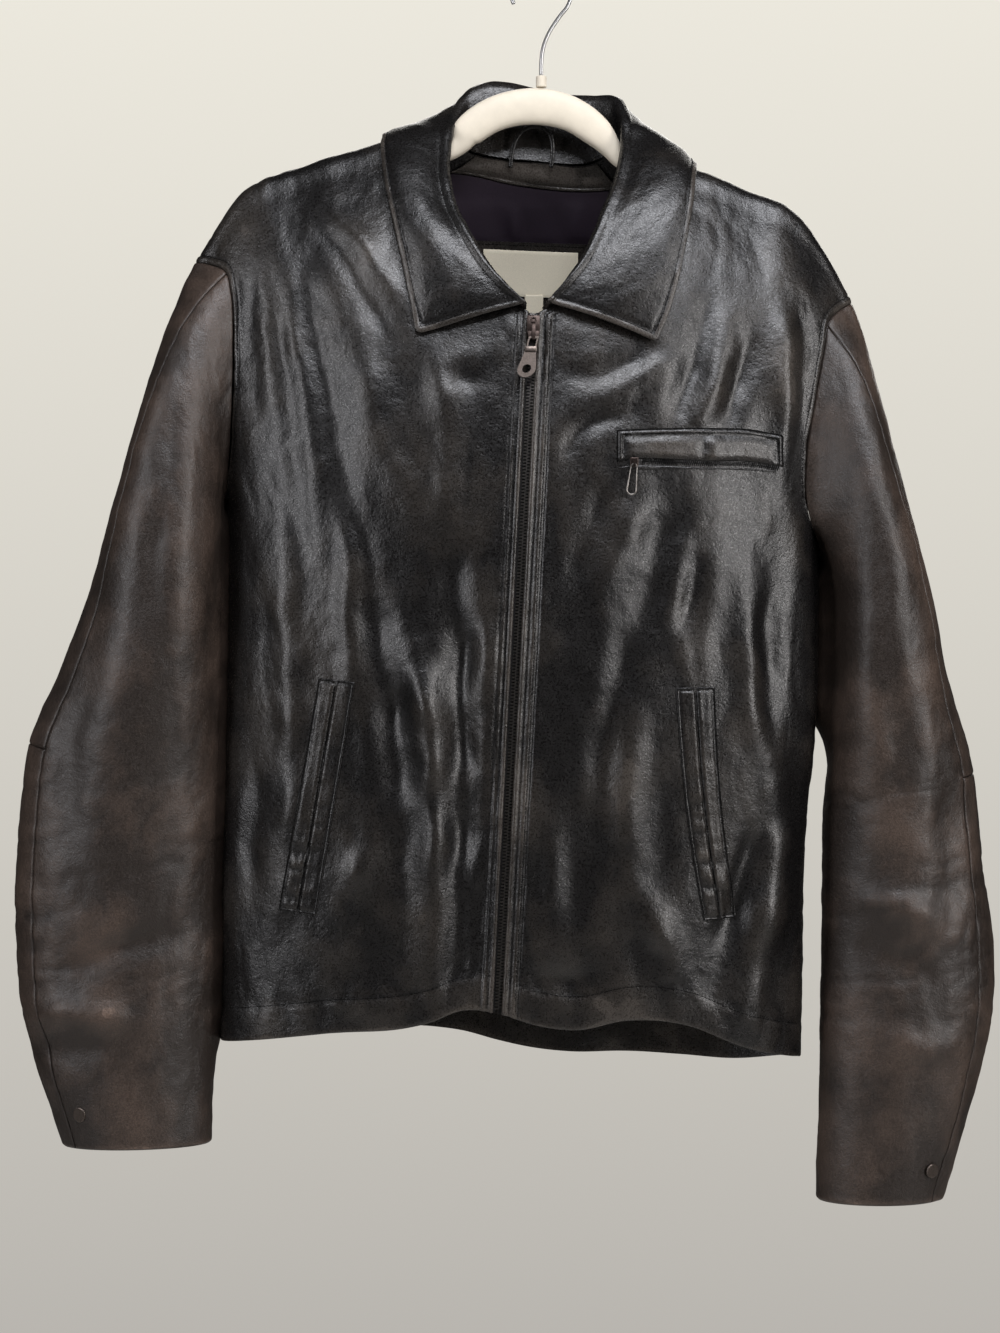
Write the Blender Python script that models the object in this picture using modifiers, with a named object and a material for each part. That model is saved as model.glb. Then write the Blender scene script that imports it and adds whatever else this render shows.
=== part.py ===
"""Worn black leather zip jacket, size medium, hanging closed on a moulded hanger with a wire hook.

Metres in the scene, millimetres in the tables below, +Z up. -Y is the front, +Y the back, and +X is the
wearer's left. The origin is the inside of the hook's crown, where the hanger rests on a rail.
"""

import math
from collections import namedtuple

import bpy
import numpy as np
from mathutils import Matrix, Vector
from mathutils.bvhtree import BVHTree

MM = 0.001
SEAM = 0.4  # between two pieces that are sewn together
LEATHER = 1.8  # body and sleeves
COLLAR = 2.2  # two layers, edge-stitched
LEAF_LIFT = 2.2  # of the collar in front of the body, and straight out from it at the shoulders
LEAF_LEAST = 1.5
WELT = 1.6
LINING = 1.0
LAID = 0.8  # under a piece that lies on a panel, whose faces are flatter than the cloth

# ---------------------------------------------------------------- sizes: body

# The two side lines of the body, where the front and the back meet.
Side = namedtuple("Side", "z right left")
SIDES = (
    Side(-120, -300, 272),
    Side(-200, -296, 269),
    Side(-235, -278, 262),
    Side(-262, -256, 251),
    Side(-285, -246, 238),
    Side(-330, -238, 222),
    Side(-400, -233, 208),
    Side(-480, -233, 206),
    Side(-560, -234, 204.5),
    Side(-640, -235.5, 197),
    Side(-720, -237, 194.5),
    Side(-830, -239, 192.5),
)

# The ridge of the shoulders from the wearer's right to left; it runs on, unseen, across the neck.
Ridge = namedtuple("Ridge", "x z")
SHOULDER = (
    Ridge(-272, -245),
    Ridge(-258, -223),
    Ridge(-243, -199),
    Ridge(-225, -174),
    Ridge(-208, -162),
    Ridge(-180, -151.5),
    Ridge(-146, -141),
    Ridge(-114, -132.5),
    Ridge(-72, -126),
    Ridge(-30, -122.5),
    Ridge(20, -125),
    Ridge(62, -133.5),
    Ridge(115, -153),
    Ridge(155, -169.5),
    Ridge(185, -183),
    Ridge(204, -203),
    Ridge(219, -229),
    Ridge(231.5, -253.5),
    Ridge(244, -278),
)

# How far front and back stand out from the plane of the hanger, by the drop below the shoulder ridge.
# It adds to the round of the ridge itself.
Swell = namedtuple("Swell", "drop front back")
SWELL = (
    Swell(0, 0, 0),
    Swell(13, 2, 3),
    Swell(30, 11, 9),
    Swell(60, 27, 18),
    Swell(100, 44, 28),
    Swell(144, 57, 36),
    Swell(200, 66, 42),
    Swell(300, 72, 48),
    Swell(400, 71, 48),
    Swell(520, 65, 46),
    Swell(700, 55, 44),
)
RIDGE_ROUND = 13
FULLNESS = 0.8  # power of the cosine across a body section, 1 would be an ellipse

# Front opening. The zip hangs a little off plumb.
ZIP_TOP = (-6, -268)
ZIP_BOTTOM = (-32, -772)
ZIP_EDGE = 3.7  # from the middle of the teeth to the leather on each side

# Neckline seam, from the shoulder ridge down to the zip, for each front.
Neck = namedtuple("Neck", "part x z")
NECK_RIGHT = (
    Neck(0, -72, -126),
    Neck(0.3, -75, -163),
    Neck(0.55, -68, -199),
    Neck(0.8, -45, -240),
    Neck(1, -9.7, -268),
)
NECK_LEFT = (
    Neck(0, 62, -133.5),
    Neck(0.3, 68, -170),
    Neck(0.55, 61, -206),
    Neck(0.8, 36, -244),
    Neck(1, -2.3, -268),
)
NECK_BACK = (
    Neck(0, -72, -126),
    Neck(0.15, -56, -137),
    Neck(0.35, -30, -143),
    Neck(0.6, 3, -145.5),
    Neck(0.85, 40, -146),
    Neck(1, 62, -133.5),
)

# Armhole seam from the shoulder point to the underarm, which is on the side line.
Arm = namedtuple("Arm", "part x z")
PIT_RIGHT = -400
PIT_LEFT = -442
ARM_FRONT_RIGHT = (
    Arm(0, -258, -223),
    Arm(0.1, -246, -226),
    Arm(0.2, -234, -232),
    Arm(0.32, -228.5, -250),
    Arm(0.5, -227, -290),
    Arm(0.68, -227.5, -330),
    Arm(0.86, -229.5, -370),
    Arm(1, -233, PIT_RIGHT),
)
ARM_BACK_RIGHT = (
    Arm(0, -258, -223),
    Arm(0.1, -249, -229),
    Arm(0.2, -239, -239),
    Arm(0.32, -231, -260),
    Arm(0.5, -224, -296),
    Arm(0.68, -222, -334),
    Arm(0.86, -226, -372),
    Arm(1, -233, PIT_RIGHT),
)
ARM_FRONT_LEFT = (
    Arm(0, 231.5, -253.5),
    Arm(0.1, 221, -260),
    Arm(0.2, 212, -270),
    Arm(0.32, 207.5, -290),
    Arm(0.5, 200, -330),
    Arm(0.68, 194, -370),
    Arm(0.86, 195, -408),
    Arm(1, 207, PIT_LEFT),
)
ARM_BACK_LEFT = (
    Arm(0, 231.5, -253.5),
    Arm(0.1, 222, -259),
    Arm(0.2, 213, -269),
    Arm(0.32, 206, -290),
    Arm(0.5, 199, -332),
    Arm(0.68, 195, -374),
    Arm(0.86, 201.5, -412),
    Arm(1, 207, PIT_LEFT),
)

Hem = namedtuple("Hem", "x front back")
HEM = (
    Hem(-245, -802, -802),
    Hem(-160, -791, -800),
    Hem(-80, -781, -799),
    Hem(-60, -773, -802),
    Hem(-34, -774, -809),
    Hem(-6, -783, -815),
    Hem(24, -787, -818),
    Hem(62, -780, -817),
    Hem(107, -785, -819),
    Hem(145, -801, -821),
    Hem(197, -814, -814),
)

# The largest folds: three points along each, its half width and its height, less than 0 for a trough.
Fold = namedtuple("Fold", "x0 z0 x1 z1 x2 z2 wide high")
FRONT_FOLDS = (
    Fold(-211, -205, -202, -282, -189, -383, 13, 6),
    Fold(-205, -225, -186, -325, -177, -505, 14, -6),
    Fold(-199, -200, -173, -322, -162, -448, 15, 6),
    Fold(-175, -199, -159, -323, -114, -505, 16, -6),
    Fold(-157, -235, -120, -337, -94, -419, 17, 6),
    Fold(-80, -296, -70, -347, -70, -433, 16, 4),
    Fold(-126, -476, -110, -548, -101, -693, 18, -6),
    Fold(-103, -505, -80, -577, -77, -772, 16, 7),
    Fold(-60, -448, -50, -600, -52, -776, 14, -11),
    Fold(-211, -564, -212, -642, -215, -719, 14, -5),
    Fold(-124, -640, -132, -680, -138, -720, 14, 5),
    Fold(179, -260, 181, -310, 179, -355, 12, 6),
    Fold(151, -278, 141, -318, 122, -345, 13, -5),
    Fold(40, -312, 70, -305, 92, -280, 14, -5),
    Fold(33, -332, 64, -321, 87, -306, 14, 5),
    Fold(96, -430, 55, -560, 21, -693, 16, -7),
    Fold(102, -455, 65, -562, 64, -674, 16, 5),
    Fold(64, -674, 88, -725, 97, -765, 15, 6),
    Fold(117, -440, 108, -490, 80, -540, 14, -5),
    Fold(172, -440, 164, -525, 160, -600, 14, -5),
    Fold(157, -451, 158, -560, 178, -650, 15, 7),
    Fold(178, -650, 168, -710, 150, -795, 16, 8),
    Fold(156, -645, 150, -700, 124, -790, 12, -7),
    Fold(8, -600, 6, -690, 0, -760, 13, 4),
)
BACK_FOLDS = (
    Fold(-190, -230, -160, -330, -120, -470, 18, 6),
    Fold(-205, -300, -180, -420, -170, -560, 16, -6),
    Fold(-100, -200, -80, -330, -85, -520, 20, -5),
    Fold(175, -280, 150, -380, 110, -500, 18, 6),
    Fold(185, -360, 172, -470, 165, -600, 15, -6),
    Fold(80, -230, 70, -360, 60, -540, 20, -5),
    Fold(-40, -420, -30, -560, -45, -790, 20, 6),
    Fold(50, -470, 62, -620, 50, -800, 18, -7),
    Fold(-140, -560, -150, -680, -150, -790, 17, 7),
    Fold(140, -580, 130, -690, 135, -800, 17, 6),
)

# ---------------------------------------------------------------- sizes: sleeves

# Rings from the armhole to the cuff: the ends of each ring on the outer and the inner line of the sleeve,
# and how far its front and back stand from the plane of the hanger.
Ring = namedtuple("Ring", "out_x out_z in_x in_z front back")
SLEEVE_RIGHT = (
    Ring(-258, -223, -233, -400, -30, 26),
    Ring(-269, -247, -237, -411, -46, 36),
    Ring(-283, -285, -239.5, -430, -60, 47),
    Ring(-299, -338, -240, -460, -68, 55),
    Ring(-316, -398, -240.5, -498, -71, 58),
    Ring(-334, -462, -241, -538, -69, 58),
    Ring(-356, -524, -241, -575, -65, 56),
    Ring(-379, -576, -241.5, -612, -60, 54),
    Ring(-388, -640, -242.5, -662, -55, 50),
    Ring(-391, -706, -243, -716, -52, 45),
    Ring(-388, -762, -243.5, -766, -50, 40),
    Ring(-376, -816, -244, -818, -48, 34),
    Ring(-355.5, -878.5, -244.5, -876, -44, 26),
)
SLEEVE_LEFT = (
    Ring(231.5, -253.5, 207, -442, -30, 26),
    Ring(241, -284, 213, -451, -46, 36),
    Ring(252, -328, 218, -465, -60, 47),
    Ring(264, -376, 220.5, -487, -68, 55),
    Ring(278, -430, 220.5, -516, -71, 58),
    Ring(292, -488, 218, -550, -69, 58),
    Ring(305, -546, 214, -586, -65, 56),
    Ring(321, -598, 210.5, -624, -60, 54),
    Ring(328, -662, 208.5, -676, -55, 50),
    Ring(335.5, -728, 207.5, -734, -52, 45),
    Ring(334.5, -784, 207, -786, -50, 40),
    Ring(323, -834, 206.5, -836, -48, 36),
    Ring(297, -918, 203.5, -918, -44, 26),
)
ARMHOLE_REACH = 0.26  # share of the sleeve over which the armhole's outline fades out

SLEEVE_FOLDS = (
    Fold(-284, -290, -300, -380, -320, -470, 12, 5),
    Fold(-262, -300, -272, -400, -290, -500, 13, -5),
    Fold(-325, -480, -340, -560, -352, -650, 13, -6),
    Fold(-345, -742, -300, -728, -262, -716, 13, -6),
    Fold(-372, -776, -335, -780, -300, -776, 13, 6),
    Fold(-380, -800, -350, -806, -318, -800, 12, -5),
    Fold(258, -360, 278, -460, 298, -560, 13, 5),
    Fold(238, -420, 250, -520, 262, -620, 14, -5),
    Fold(300, -590, 302, -650, 296, -720, 13, -6),
    Fold(232, -690, 262, -700, 296, -712, 13, 6),
    Fold(228, -730, 262, -742, 300, -750, 13, -6),
    Fold(250, -790, 280, -800, 306, -800, 12, 5),
)

# ---------------------------------------------------------------- sizes: collar

# Stations from the wearer's right front end, round the back, to the left front end: the roll line, the
# outer edge, and where the neckline seam lies, as a share of the right front, the back or the left front.
Station = namedtuple("Station", "seam part roll_x roll_y roll_z edge_x edge_y edge_z round bulge")
COLLAR_STATIONS = (
    Station("right", 0.985, -13, -78, -262, -89, -70, -285, 1.6, 3),
    Station("right", 0.9, -29, -79, -248, -94, -68, -266, 3, 4),
    Station("right", 0.8, -43, -75, -230, -99.5, -64, -243, 4, 5),
    Station("right", 0.68, -55, -66, -208, -104.5, -59, -219, 4.4, 6),
    Station("right", 0.53, -65, -52, -186, -109.5, -52, -196, 4.6, 6),
    Station("right", 0.36, -70.5, -35, -160, -115.5, -39, -168, 4.6, 6),
    Station("right", 0.19, -69.5, -18, -137.5, -119, -20, -142, 4.6, 6),
    Station("right", 0.1, -69, -8, -124, -118.5, -9, -132, 4.6, 6),
    Station("right", 0.02, -66.5, 3, -115, -117, 3, -127, 4.6, 6),
    Station("back", 0.1, -60, 17, -98, -105, 21, -138, 4.6, 6),
    Station("back", 0.22, -49, 25, -86, -82, 33, -151, 4.6, 5),
    Station("back", 0.36, -34, 29, -82, -51, 38, -159, 4.6, 5),
    Station("back", 0.54, -6, 31, -87, -6, 40, -164, 4.6, 5),
    Station("back", 0.74, 22, 30, -92, 39, 39, -168, 4.6, 5),
    Station("back", 0.87, 42, 26, -93.5, 67, 35, -168, 4.6, 5),
    Station("back", 0.96, 57, 18, -95, 93, 27, -162, 4.6, 6),
    Station("left", 0.04, 63, 5, -108, 108, 10, -150, 4.6, 6),
    Station("left", 0.11, 63, -5, -117, 112, -4, -149, 4.6, 6),
    Station("left", 0.19, 62, -13, -129, 115, -16, -152, 4.6, 6),
    Station("left", 0.34, 59, -30, -150, 113, -36, -165, 4.6, 6),
    Station("left", 0.49, 52.5, -46, -172, 109.5, -51, -190, 4.6, 6),
    Station("left", 0.64, 44, -60, -194, 104.5, -60, -217, 4.4, 6),
    Station("left", 0.78, 33, -71, -222, 99, -66, -242, 4, 5),
    Station("left", 0.9, 20.5, -77, -243, 91.5, -70, -268, 3, 4),
    Station("left", 0.985, 5.5, -78, -261, 82.5, -73, -290, 1.6, 3),
)

# ---------------------------------------------------------------- sizes: on the fronts

# Corners of each pocket's frame: top and bottom, each with its near (zip side) and far x and z.
HAND_RIGHT = dict(top=(-136, -535.5, -161, -532.5), bottom=(-164.5, -704, -191, -700.5))
HAND_LEFT = dict(top=(96.5, -539.5, 123.5, -539), bottom=(117.5, -708, 140.5, -706.5))
CHEST = dict(left=53.5, right=175, top=-354, bottom=-381.5)
CHEST_SLIT = -377.5
POCKET_SLIT = 1.0

# ---------------------------------------------------------------- sizes: zip, pulls, snaps

TEETH_WIDE = 5.2
TEETH_THICK = 2.2
TAPE_WIDE = 11
TAPE_THICK = 0.7
TEETH_PROUD = 0.5  # in front of the leather beside them
PULL_LEAN = math.radians(12)
# A slider's plate, how far its hinge lies below its middle, and the bridge over the hinge.
Slider = namedtuple("Slider", "wide thick tall hinge_below bridge_above bridge_wide room")
ZIP_SLIDER = Slider(9.6, 2.6, 19, 7.5, 9, 2.8, 2.4)
SLIDER_Z = -281
CHEST_SLIDER = Slider(6, 1.8, 7, 1.5, 3.2, 1.8, 2.0)
CHEST_PULL_X = 65.5
SNAP_RADIUS = 5.5
SNAPS = dict(snap_right=(-338, -852), snap_left=(285, -893))

# ---------------------------------------------------------------- sizes: inside the neck

Edge = namedtuple("Edge", "x z")
FACING_BOTTOM = (
    Edge(-72, -152.5),
    Edge(-50, -155),
    Edge(-28, -160),
    Edge(2, -164.5),
    Edge(32, -166.5),
    Edge(62, -165),
)
LINING_BOTTOM = -330
LINING_LIFT = 1.0
LINING_SIDES = (-92, 80)
PATCH = dict(left=-50, right=35, top=-203, bottom=-252)
LABEL = dict(left=-43.5, right=28.5, top=-209, bottom=-243)
SIZE_TAB = dict(left=-12, right=2, top=-241.5, bottom=-256)
LOOP_THICK = 2.8
LOOP = ((-23, -147), (-21, -134), (-17, -125), (-9, -120), (2, -120), (8.5, -127), (7, -147))

# ---------------------------------------------------------------- sizes: hanger and hook

Bar = namedtuple("Bar", "x top tall half")
HANGER_PLAY = 0.5  # between the arms and the inside of the shoulders
HANGER_NECK = (
    Bar(-69.5, -134.5, 13, 5),
    Bar(-62, -128.5, 15, 5),
    Bar(-55, -114.3, 23.5, 6),
    Bar(-36, -100, 26, 6),
    Bar(-17, -94.1, 27, 6),
    Bar(-1, -93.2, 27.5, 6),
    Bar(22, -99.4, 26, 6),
    Bar(41.5, -114.3, 23, 6),
    Bar(52, -130, 16, 5.2),
    Bar(59, -141, 12, 4.8),
)
HANGER_ARMS_RIGHT = (-216, -212, -204, -190, -170, -150, -130, -110, -88)
HANGER_ARMS_LEFT = (78, 98, 118, 138, 158, 174, 185, 190)
ARM_TALL = 15
ARM_HALF = 5.4
HANGER_SQUARE = 0.85  # power that squares off a bar's round section a little, 1 would be an ellipse
WIRE = 3.0
HOOK_RADIUS = 22.5  # of the wire's middle line
HOOK_BEND = ((0, -76), (0.4, -69), (2, -61), (5.2, -53), (10, -45))
FERRULE = dict(radius=4, bottom=-92.7, top=-84.2)


# ---------------------------------------------------------------- helpers

def along(rows, key, value, at):
    """A smooth curve through one column of a table, read at the given places of another column."""
    pairs = sorted((getattr(row, key), getattr(row, value)) for row in rows)
    return through([pair[0] for pair in pairs], [pair[1] for pair in pairs], at)


def through(keys, values, at):
    """A smooth curve through values that stand at rising keys."""
    keys, values = np.array(keys, float), np.array(values, float)
    slopes = np.gradient(values, keys)
    at = np.clip(np.asarray(at, float), keys[0], keys[-1])
    i = np.clip(np.searchsorted(keys, at) - 1, 0, len(keys) - 2)
    step = keys[i + 1] - keys[i]
    t = (at - keys[i]) / step
    start = (2 * t**3 - 3 * t**2 + 1) * values[i] + (t**3 - 2 * t**2 + t) * step * slopes[i]
    end = (3 * t**2 - 2 * t**3) * values[i + 1] + (t**3 - t**2) * step * slopes[i + 1]
    return start + end


def smooth(t):
    t = np.clip(t, 0, 1)
    return t * t * (3 - 2 * t)


def unit(vectors):
    return vectors / np.maximum(np.linalg.norm(vectors, axis=-1, keepdims=True), 1e-9)


def normals_of(points, towards):
    """Outward directions of a grid of points; towards is one direction that its middle faces."""
    found = unit(np.cross(np.gradient(points, axis=1), np.gradient(points, axis=0)))
    middle = found[points.shape[0] // 2, points.shape[1] // 2]
    return found if np.dot(middle, towards) > 0 else -found


def relief(folds, x, z):
    """Height of the folds at places of the plane of the hanger."""
    total = np.zeros(np.shape(x))
    for fold in folds:
        t = np.linspace(0, 1, 8)
        # A parabola through the fold's three points.
        first, mid, last = 2 * (t - 0.5) * (t - 1), -4 * t * (t - 1), 2 * t * (t - 0.5)
        route_x = first * fold.x0 + mid * fold.x1 + last * fold.x2
        route_z = first * fold.z0 + mid * fold.z1 + last * fold.z2
        nearest = np.full(np.shape(x), 1e9)
        place = np.zeros(np.shape(x))
        for k in range(len(t) - 1):
            run_x, run_z = route_x[k + 1] - route_x[k], route_z[k + 1] - route_z[k]
            share = ((x - route_x[k]) * run_x + (z - route_z[k]) * run_z) / (run_x**2 + run_z**2)
            share = np.clip(share, 0, 1)
            away = np.hypot(x - route_x[k] - share * run_x, z - route_z[k] - share * run_z)
            place = np.where(away < nearest, (k + share) / (len(t) - 1), place)
            nearest = np.minimum(nearest, away)
        ends = np.sin(np.pi * (0.12 + 0.76 * place)) ** 0.7
        total += fold.high * ends * np.exp(-((nearest / fold.wide) ** 2))
    return total


def material(name, colour, roughness, metallic=0.0):
    made = bpy.data.materials.new(name)
    made.use_nodes = True
    shader = made.node_tree.nodes["Principled BSDF"]
    shader.inputs["Base Color"].default_value = (*colour, 1)
    shader.inputs["Roughness"].default_value = roughness
    shader.inputs["Metallic"].default_value = metallic
    return made


def add_object(name, mesh, finish):
    made = bpy.data.objects.new(name, mesh)
    mesh.materials.append(finish)
    parts.objects.link(made)
    return made


def add_mesh(name, points, faces, finish):
    mesh = bpy.data.meshes.new(name)
    mesh.from_pydata([tuple(point * MM) for point in points], [], faces)
    mesh.update()
    return add_object(name, mesh, finish)


def trimmed(points, gap=SEAM / 2):
    """The grid with each border moved in along the surface, so that sewn pieces stay apart."""
    points = points.copy()
    points[0] += unit(points[1] - points[0]) * gap
    points[-1] += unit(points[-2] - points[-1]) * gap
    points[:, 0] += unit(points[:, 1] - points[:, 0]) * gap
    points[:, -1] += unit(points[:, -2] - points[:, -1]) * gap
    return points


def wall(name, outer, normals, thick, finish):
    """A closed wall of cloth: the outer grid, the same grid moved in, and a rim all round."""
    rows, columns = outer.shape[:2]
    inner = outer - normals * thick
    points = np.concatenate([outer.reshape(-1, 3), inner.reshape(-1, 3)])
    lower = rows * columns
    faces = []
    for r in range(rows - 1):
        for c in range(columns - 1):
            a, b = r * columns + c, r * columns + c + 1
            d, e = a + columns, b + columns
            faces.append((a, b, e, d))
            faces.append((lower + a, lower + d, lower + e, lower + b))
    border = [c for c in range(columns)]
    border += [r * columns + columns - 1 for r in range(1, rows)]
    border += [(rows - 1) * columns + c for c in range(columns - 2, -1, -1)]
    border += [r * columns for r in range(rows - 2, 0, -1)]
    for here, after in zip(border, border[1:] + border[:1]):
        faces.append((here, lower + here, lower + after, after))
    middle = rows // 2, columns // 2
    across = outer[middle[0], middle[1]] - outer[middle[0], middle[1] - 1]
    down = outer[middle[0], middle[1]] - outer[middle[0] - 1, middle[1]]
    turn = np.cross(across, down)
    if np.dot(turn, normals[middle]) < 0:
        faces = [face[::-1] for face in faces]
    return add_mesh(name, points, faces, finish)


# ---------------------------------------------------------------- body

def side_lines(z):
    return along(SIDES, "z", "right", z), along(SIDES, "z", "left", z)


def turn_at(x, z):
    """The turn round the body, 0 in the middle and a quarter turn on a side line, at a place of a section."""
    right, left = side_lines(z)
    return np.arcsin(np.clip((x - (left + right) / 2) / ((left - right) / 2), -1, 1))


def body_points(face, turn, z):
    """Points of the body's surface, without its folds; face is front or back."""
    right, left = side_lines(z)
    x = (left + right) / 2 + (left - right) / 2 * np.sin(turn)
    drop = np.maximum(along(SHOULDER, "x", "z", x) - z, 0)
    round_share = np.clip(drop / RIDGE_ROUND, 0, 1)
    depth = RIDGE_ROUND * np.sqrt(1 - (1 - round_share) ** 2) + along(SWELL, "drop", face, drop)
    y = depth * np.abs(np.cos(turn)) ** FULLNESS * (-1 if face == "front" else 1)
    return np.stack([x, y, z], axis=-1)


def zip_x(z):
    share = (ZIP_TOP[1] - np.asarray(z, float)) / (ZIP_TOP[1] - ZIP_BOTTOM[1])
    return ZIP_TOP[0] + (ZIP_BOTTOM[0] - ZIP_TOP[0]) * share


ARM_SHARE = 0.3  # share of a panel's rows that lie beside the armhole
NECK_SHARE = ARM_SHARE * 0.7  # the same beside the neckline, so that a row starts where the zip does
ARM_ROWS = (0, 0.015, 0.06, 0.13, 0.22, 0.34, 0.46, 0.58, 0.7, 0.82, 0.92, 1)
BELOW_ROWS = 13
BACK_COLUMNS = np.array((0, 0.1, 0.22, 0.36, 0.51, 0.67, 0.83, 1))  # from an armhole to the neck
FRONT_COLUMNS = 1 - np.interp(np.arange(14, -1, -1) / 2, np.arange(8), BACK_COLUMNS)
NECK_COLUMNS = (0, 0.05, 0.15, 0.34, 0.5, 0.66, 0.85, 0.95, 1)  # closer where the neckline turns down
ROWS = [ARM_SHARE * part for part in ARM_ROWS]
ROWS += [ARM_SHARE + (1 - ARM_SHARE) * (k + 1) / BELOW_ROWS for k in range(BELOW_ROWS)]


def back_shares(near_turn, far_turn):
    """Columns of the back, so that one stands at each end of the neckline."""
    neck_turns = [turn_at(end.x, end.z) for end in (NECK_BACK[0], NECK_BACK[-1])]
    stops = [near_turn, *neck_turns, far_turn]
    turns = []
    for k, parts_of_run in enumerate((BACK_COLUMNS, NECK_COLUMNS, 1 - BACK_COLUMNS[::-1])):
        turns += [stops[k] + (stops[k + 1] - stops[k]) * part for part in parts_of_run[:-1]]
    return ((np.array(turns + [far_turn]) - near_turn) / (far_turn - near_turn))[None, :]


def panel(face, sides):
    """Grid of one body panel between two edges, each given as x and z at every row."""
    (near_x, near_z), (far_x, far_z) = sides
    rows = np.array(ROWS)
    near_turn, far_turn = turn_at(near_x, near_z), turn_at(far_x, far_z)
    near_drop = along(SHOULDER, "x", "z", near_x) - near_z
    far_drop = along(SHOULDER, "x", "z", far_x) - far_z
    share = FRONT_COLUMNS[None, :]
    if face == "back":
        share = back_shares(near_turn[0], far_turn[0])
    turn = near_turn[:, None] * (1 - share) + far_turn[:, None] * share
    drop = np.maximum(near_drop[:, None] * (1 - share) + far_drop[:, None] * share, 0)
    if face == "back":
        drop = drop + neck_drop(turn[0]) * (1 - smooth(rows / 0.22))[:, None]
    z = near_z[:, None] * (1 - share) + far_z[:, None] * share
    to_hem = smooth((rows - 0.6) / 0.4)[:, None]
    for _ in range(12):
        right, left = side_lines(z)
        x = (left + right) / 2 + (left - right) / 2 * np.sin(turn)
        found = along(SHOULDER, "x", "z", x) - drop
        found = found + to_hem * (along(HEM, "x", face, x[-1:, :]) - found[-1:, :])
        z = (z + found) / 2
    points = body_points(face, turn, z)
    normals = normals_of(points, (0, -1 if face == "front" else 1, 0))
    folds = FRONT_FOLDS if face == "front" else BACK_FOLDS
    facing = np.clip(np.abs(normals[..., 1]), 0, 1)
    edges = smooth(share / 0.07) if face == "front" else 1
    by_arm = np.where(rows < ARM_SHARE, 1, 1 - smooth((rows - ARM_SHARE) / 0.08))[:, None]
    far = 1 - by_arm * (1 - smooth((1 - share) / 0.1))
    near = 1 if face == "front" else 1 - by_arm * (1 - smooth(share / 0.1))
    height = relief(folds, points[..., 0], points[..., 2]) * facing * edges * far * near
    height = height * smooth((rows - 0.01) / 0.05)[:, None]
    points = points + normals * height[..., None]
    if face == "front":
        # Every other column ends between two of the back's, so the shoulder seam closes.
        points[0, 1:-1:2] = (points[0, :-1:2] + points[0, 2::2]) / 2
    normals = normals_of(points, (0, -1 if face == "front" else 1, 0))
    x = points[0, :, 0]
    slope = (along(SHOULDER, "x", "z", x + 2) - along(SHOULDER, "x", "z", x - 2)) / 4
    upwards = unit(np.stack([-slope, np.zeros_like(slope), np.ones_like(slope)], axis=-1))
    on_ridge = (np.abs(points[0, :, 1]) < 1)[:, None]
    normals[0] = np.where(on_ridge, upwards, normals[0])
    return points, normals


def neck_drop(turn):
    """How far below the shoulder ridge the back neckline lies, at turns of the top row."""
    right, left = side_lines(np.full(turn.shape, NECK_BACK[0].z))
    x = (left + right) / 2 + (left - right) / 2 * np.sin(turn)
    inside = (x > NECK_BACK[0].x + 0.5) & (x < NECK_BACK[-1].x - 0.5)
    return np.where(inside, along(SHOULDER, "x", "z", x) - along(NECK_BACK, "x", "z", x), 0)


def seam_places(table, part):
    return along(table, "part", "x", part), along(table, "part", "z", part)


def arm_edge(table, pit):
    """x and z of a panel's outer edge at every row: the armhole, then the side line."""
    rows = np.array(ROWS)
    arm_x, arm_z = seam_places(table, np.clip(rows / ARM_SHARE, 0, 1))
    side = "right" if pit == PIT_RIGHT else "left"
    hem = -802 if side == "right" else -814
    below = pit + (hem - pit) * np.clip((rows - ARM_SHARE) / (1 - ARM_SHARE), 0, 1)
    z = np.where(rows <= ARM_SHARE + 1e-6, arm_z, below)
    on_side = along(SIDES, "z", side, z)
    return np.where(rows < ARM_SHARE - 1e-6, arm_x, on_side), z


def zip_edge(table, offset):
    """x and z of a front's inner edge at every row: the neckline, then the edge beside the teeth."""
    rows = np.array(ROWS)
    neck_x, neck_z = seam_places(table, np.clip(rows / NECK_SHARE, 0, 1))
    below = ZIP_TOP[1] + (ZIP_BOTTOM[1] - ZIP_TOP[1]) * np.clip((rows - NECK_SHARE) / (1 - NECK_SHARE), 0, 1)
    z = np.where(rows <= NECK_SHARE + 1e-6, neck_z, below)
    return np.where(rows <= NECK_SHARE + 1e-6, neck_x, zip_x(z) + offset), z


def side_normals(normals, column, direction):
    """Below the armhole the surface turns straight outwards at its side seam."""
    below = np.array(ROWS) >= ARM_SHARE - 1e-6
    normals[below, column] = unit(np.array([direction, 0, -0.03]))
    return normals


def body_panels():
    """The outer grid and the outward directions of the two fronts and the back."""
    right_arm, left_arm = arm_edge(ARM_FRONT_RIGHT, PIT_RIGHT), arm_edge(ARM_FRONT_LEFT, PIT_LEFT)
    right, right_n = panel("front", (zip_edge(NECK_RIGHT, -ZIP_EDGE), right_arm))
    left, left_n = panel("front", (zip_edge(NECK_LEFT, ZIP_EDGE), left_arm))
    back_right, back_left = arm_edge(ARM_BACK_RIGHT, PIT_RIGHT), arm_edge(ARM_BACK_LEFT, PIT_LEFT)
    back, back_n = panel("back", (back_right, back_left))
    side_normals(right_n, -1, -1)
    side_normals(left_n, -1, 1)
    side_normals(back_n, 0, -1)
    side_normals(back_n, -1, 1)
    return dict(
        front_right=(right, right_n),
        front_left=(left, left_n),
        back=(back, back_n),
    )


# ---------------------------------------------------------------- sleeves

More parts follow.
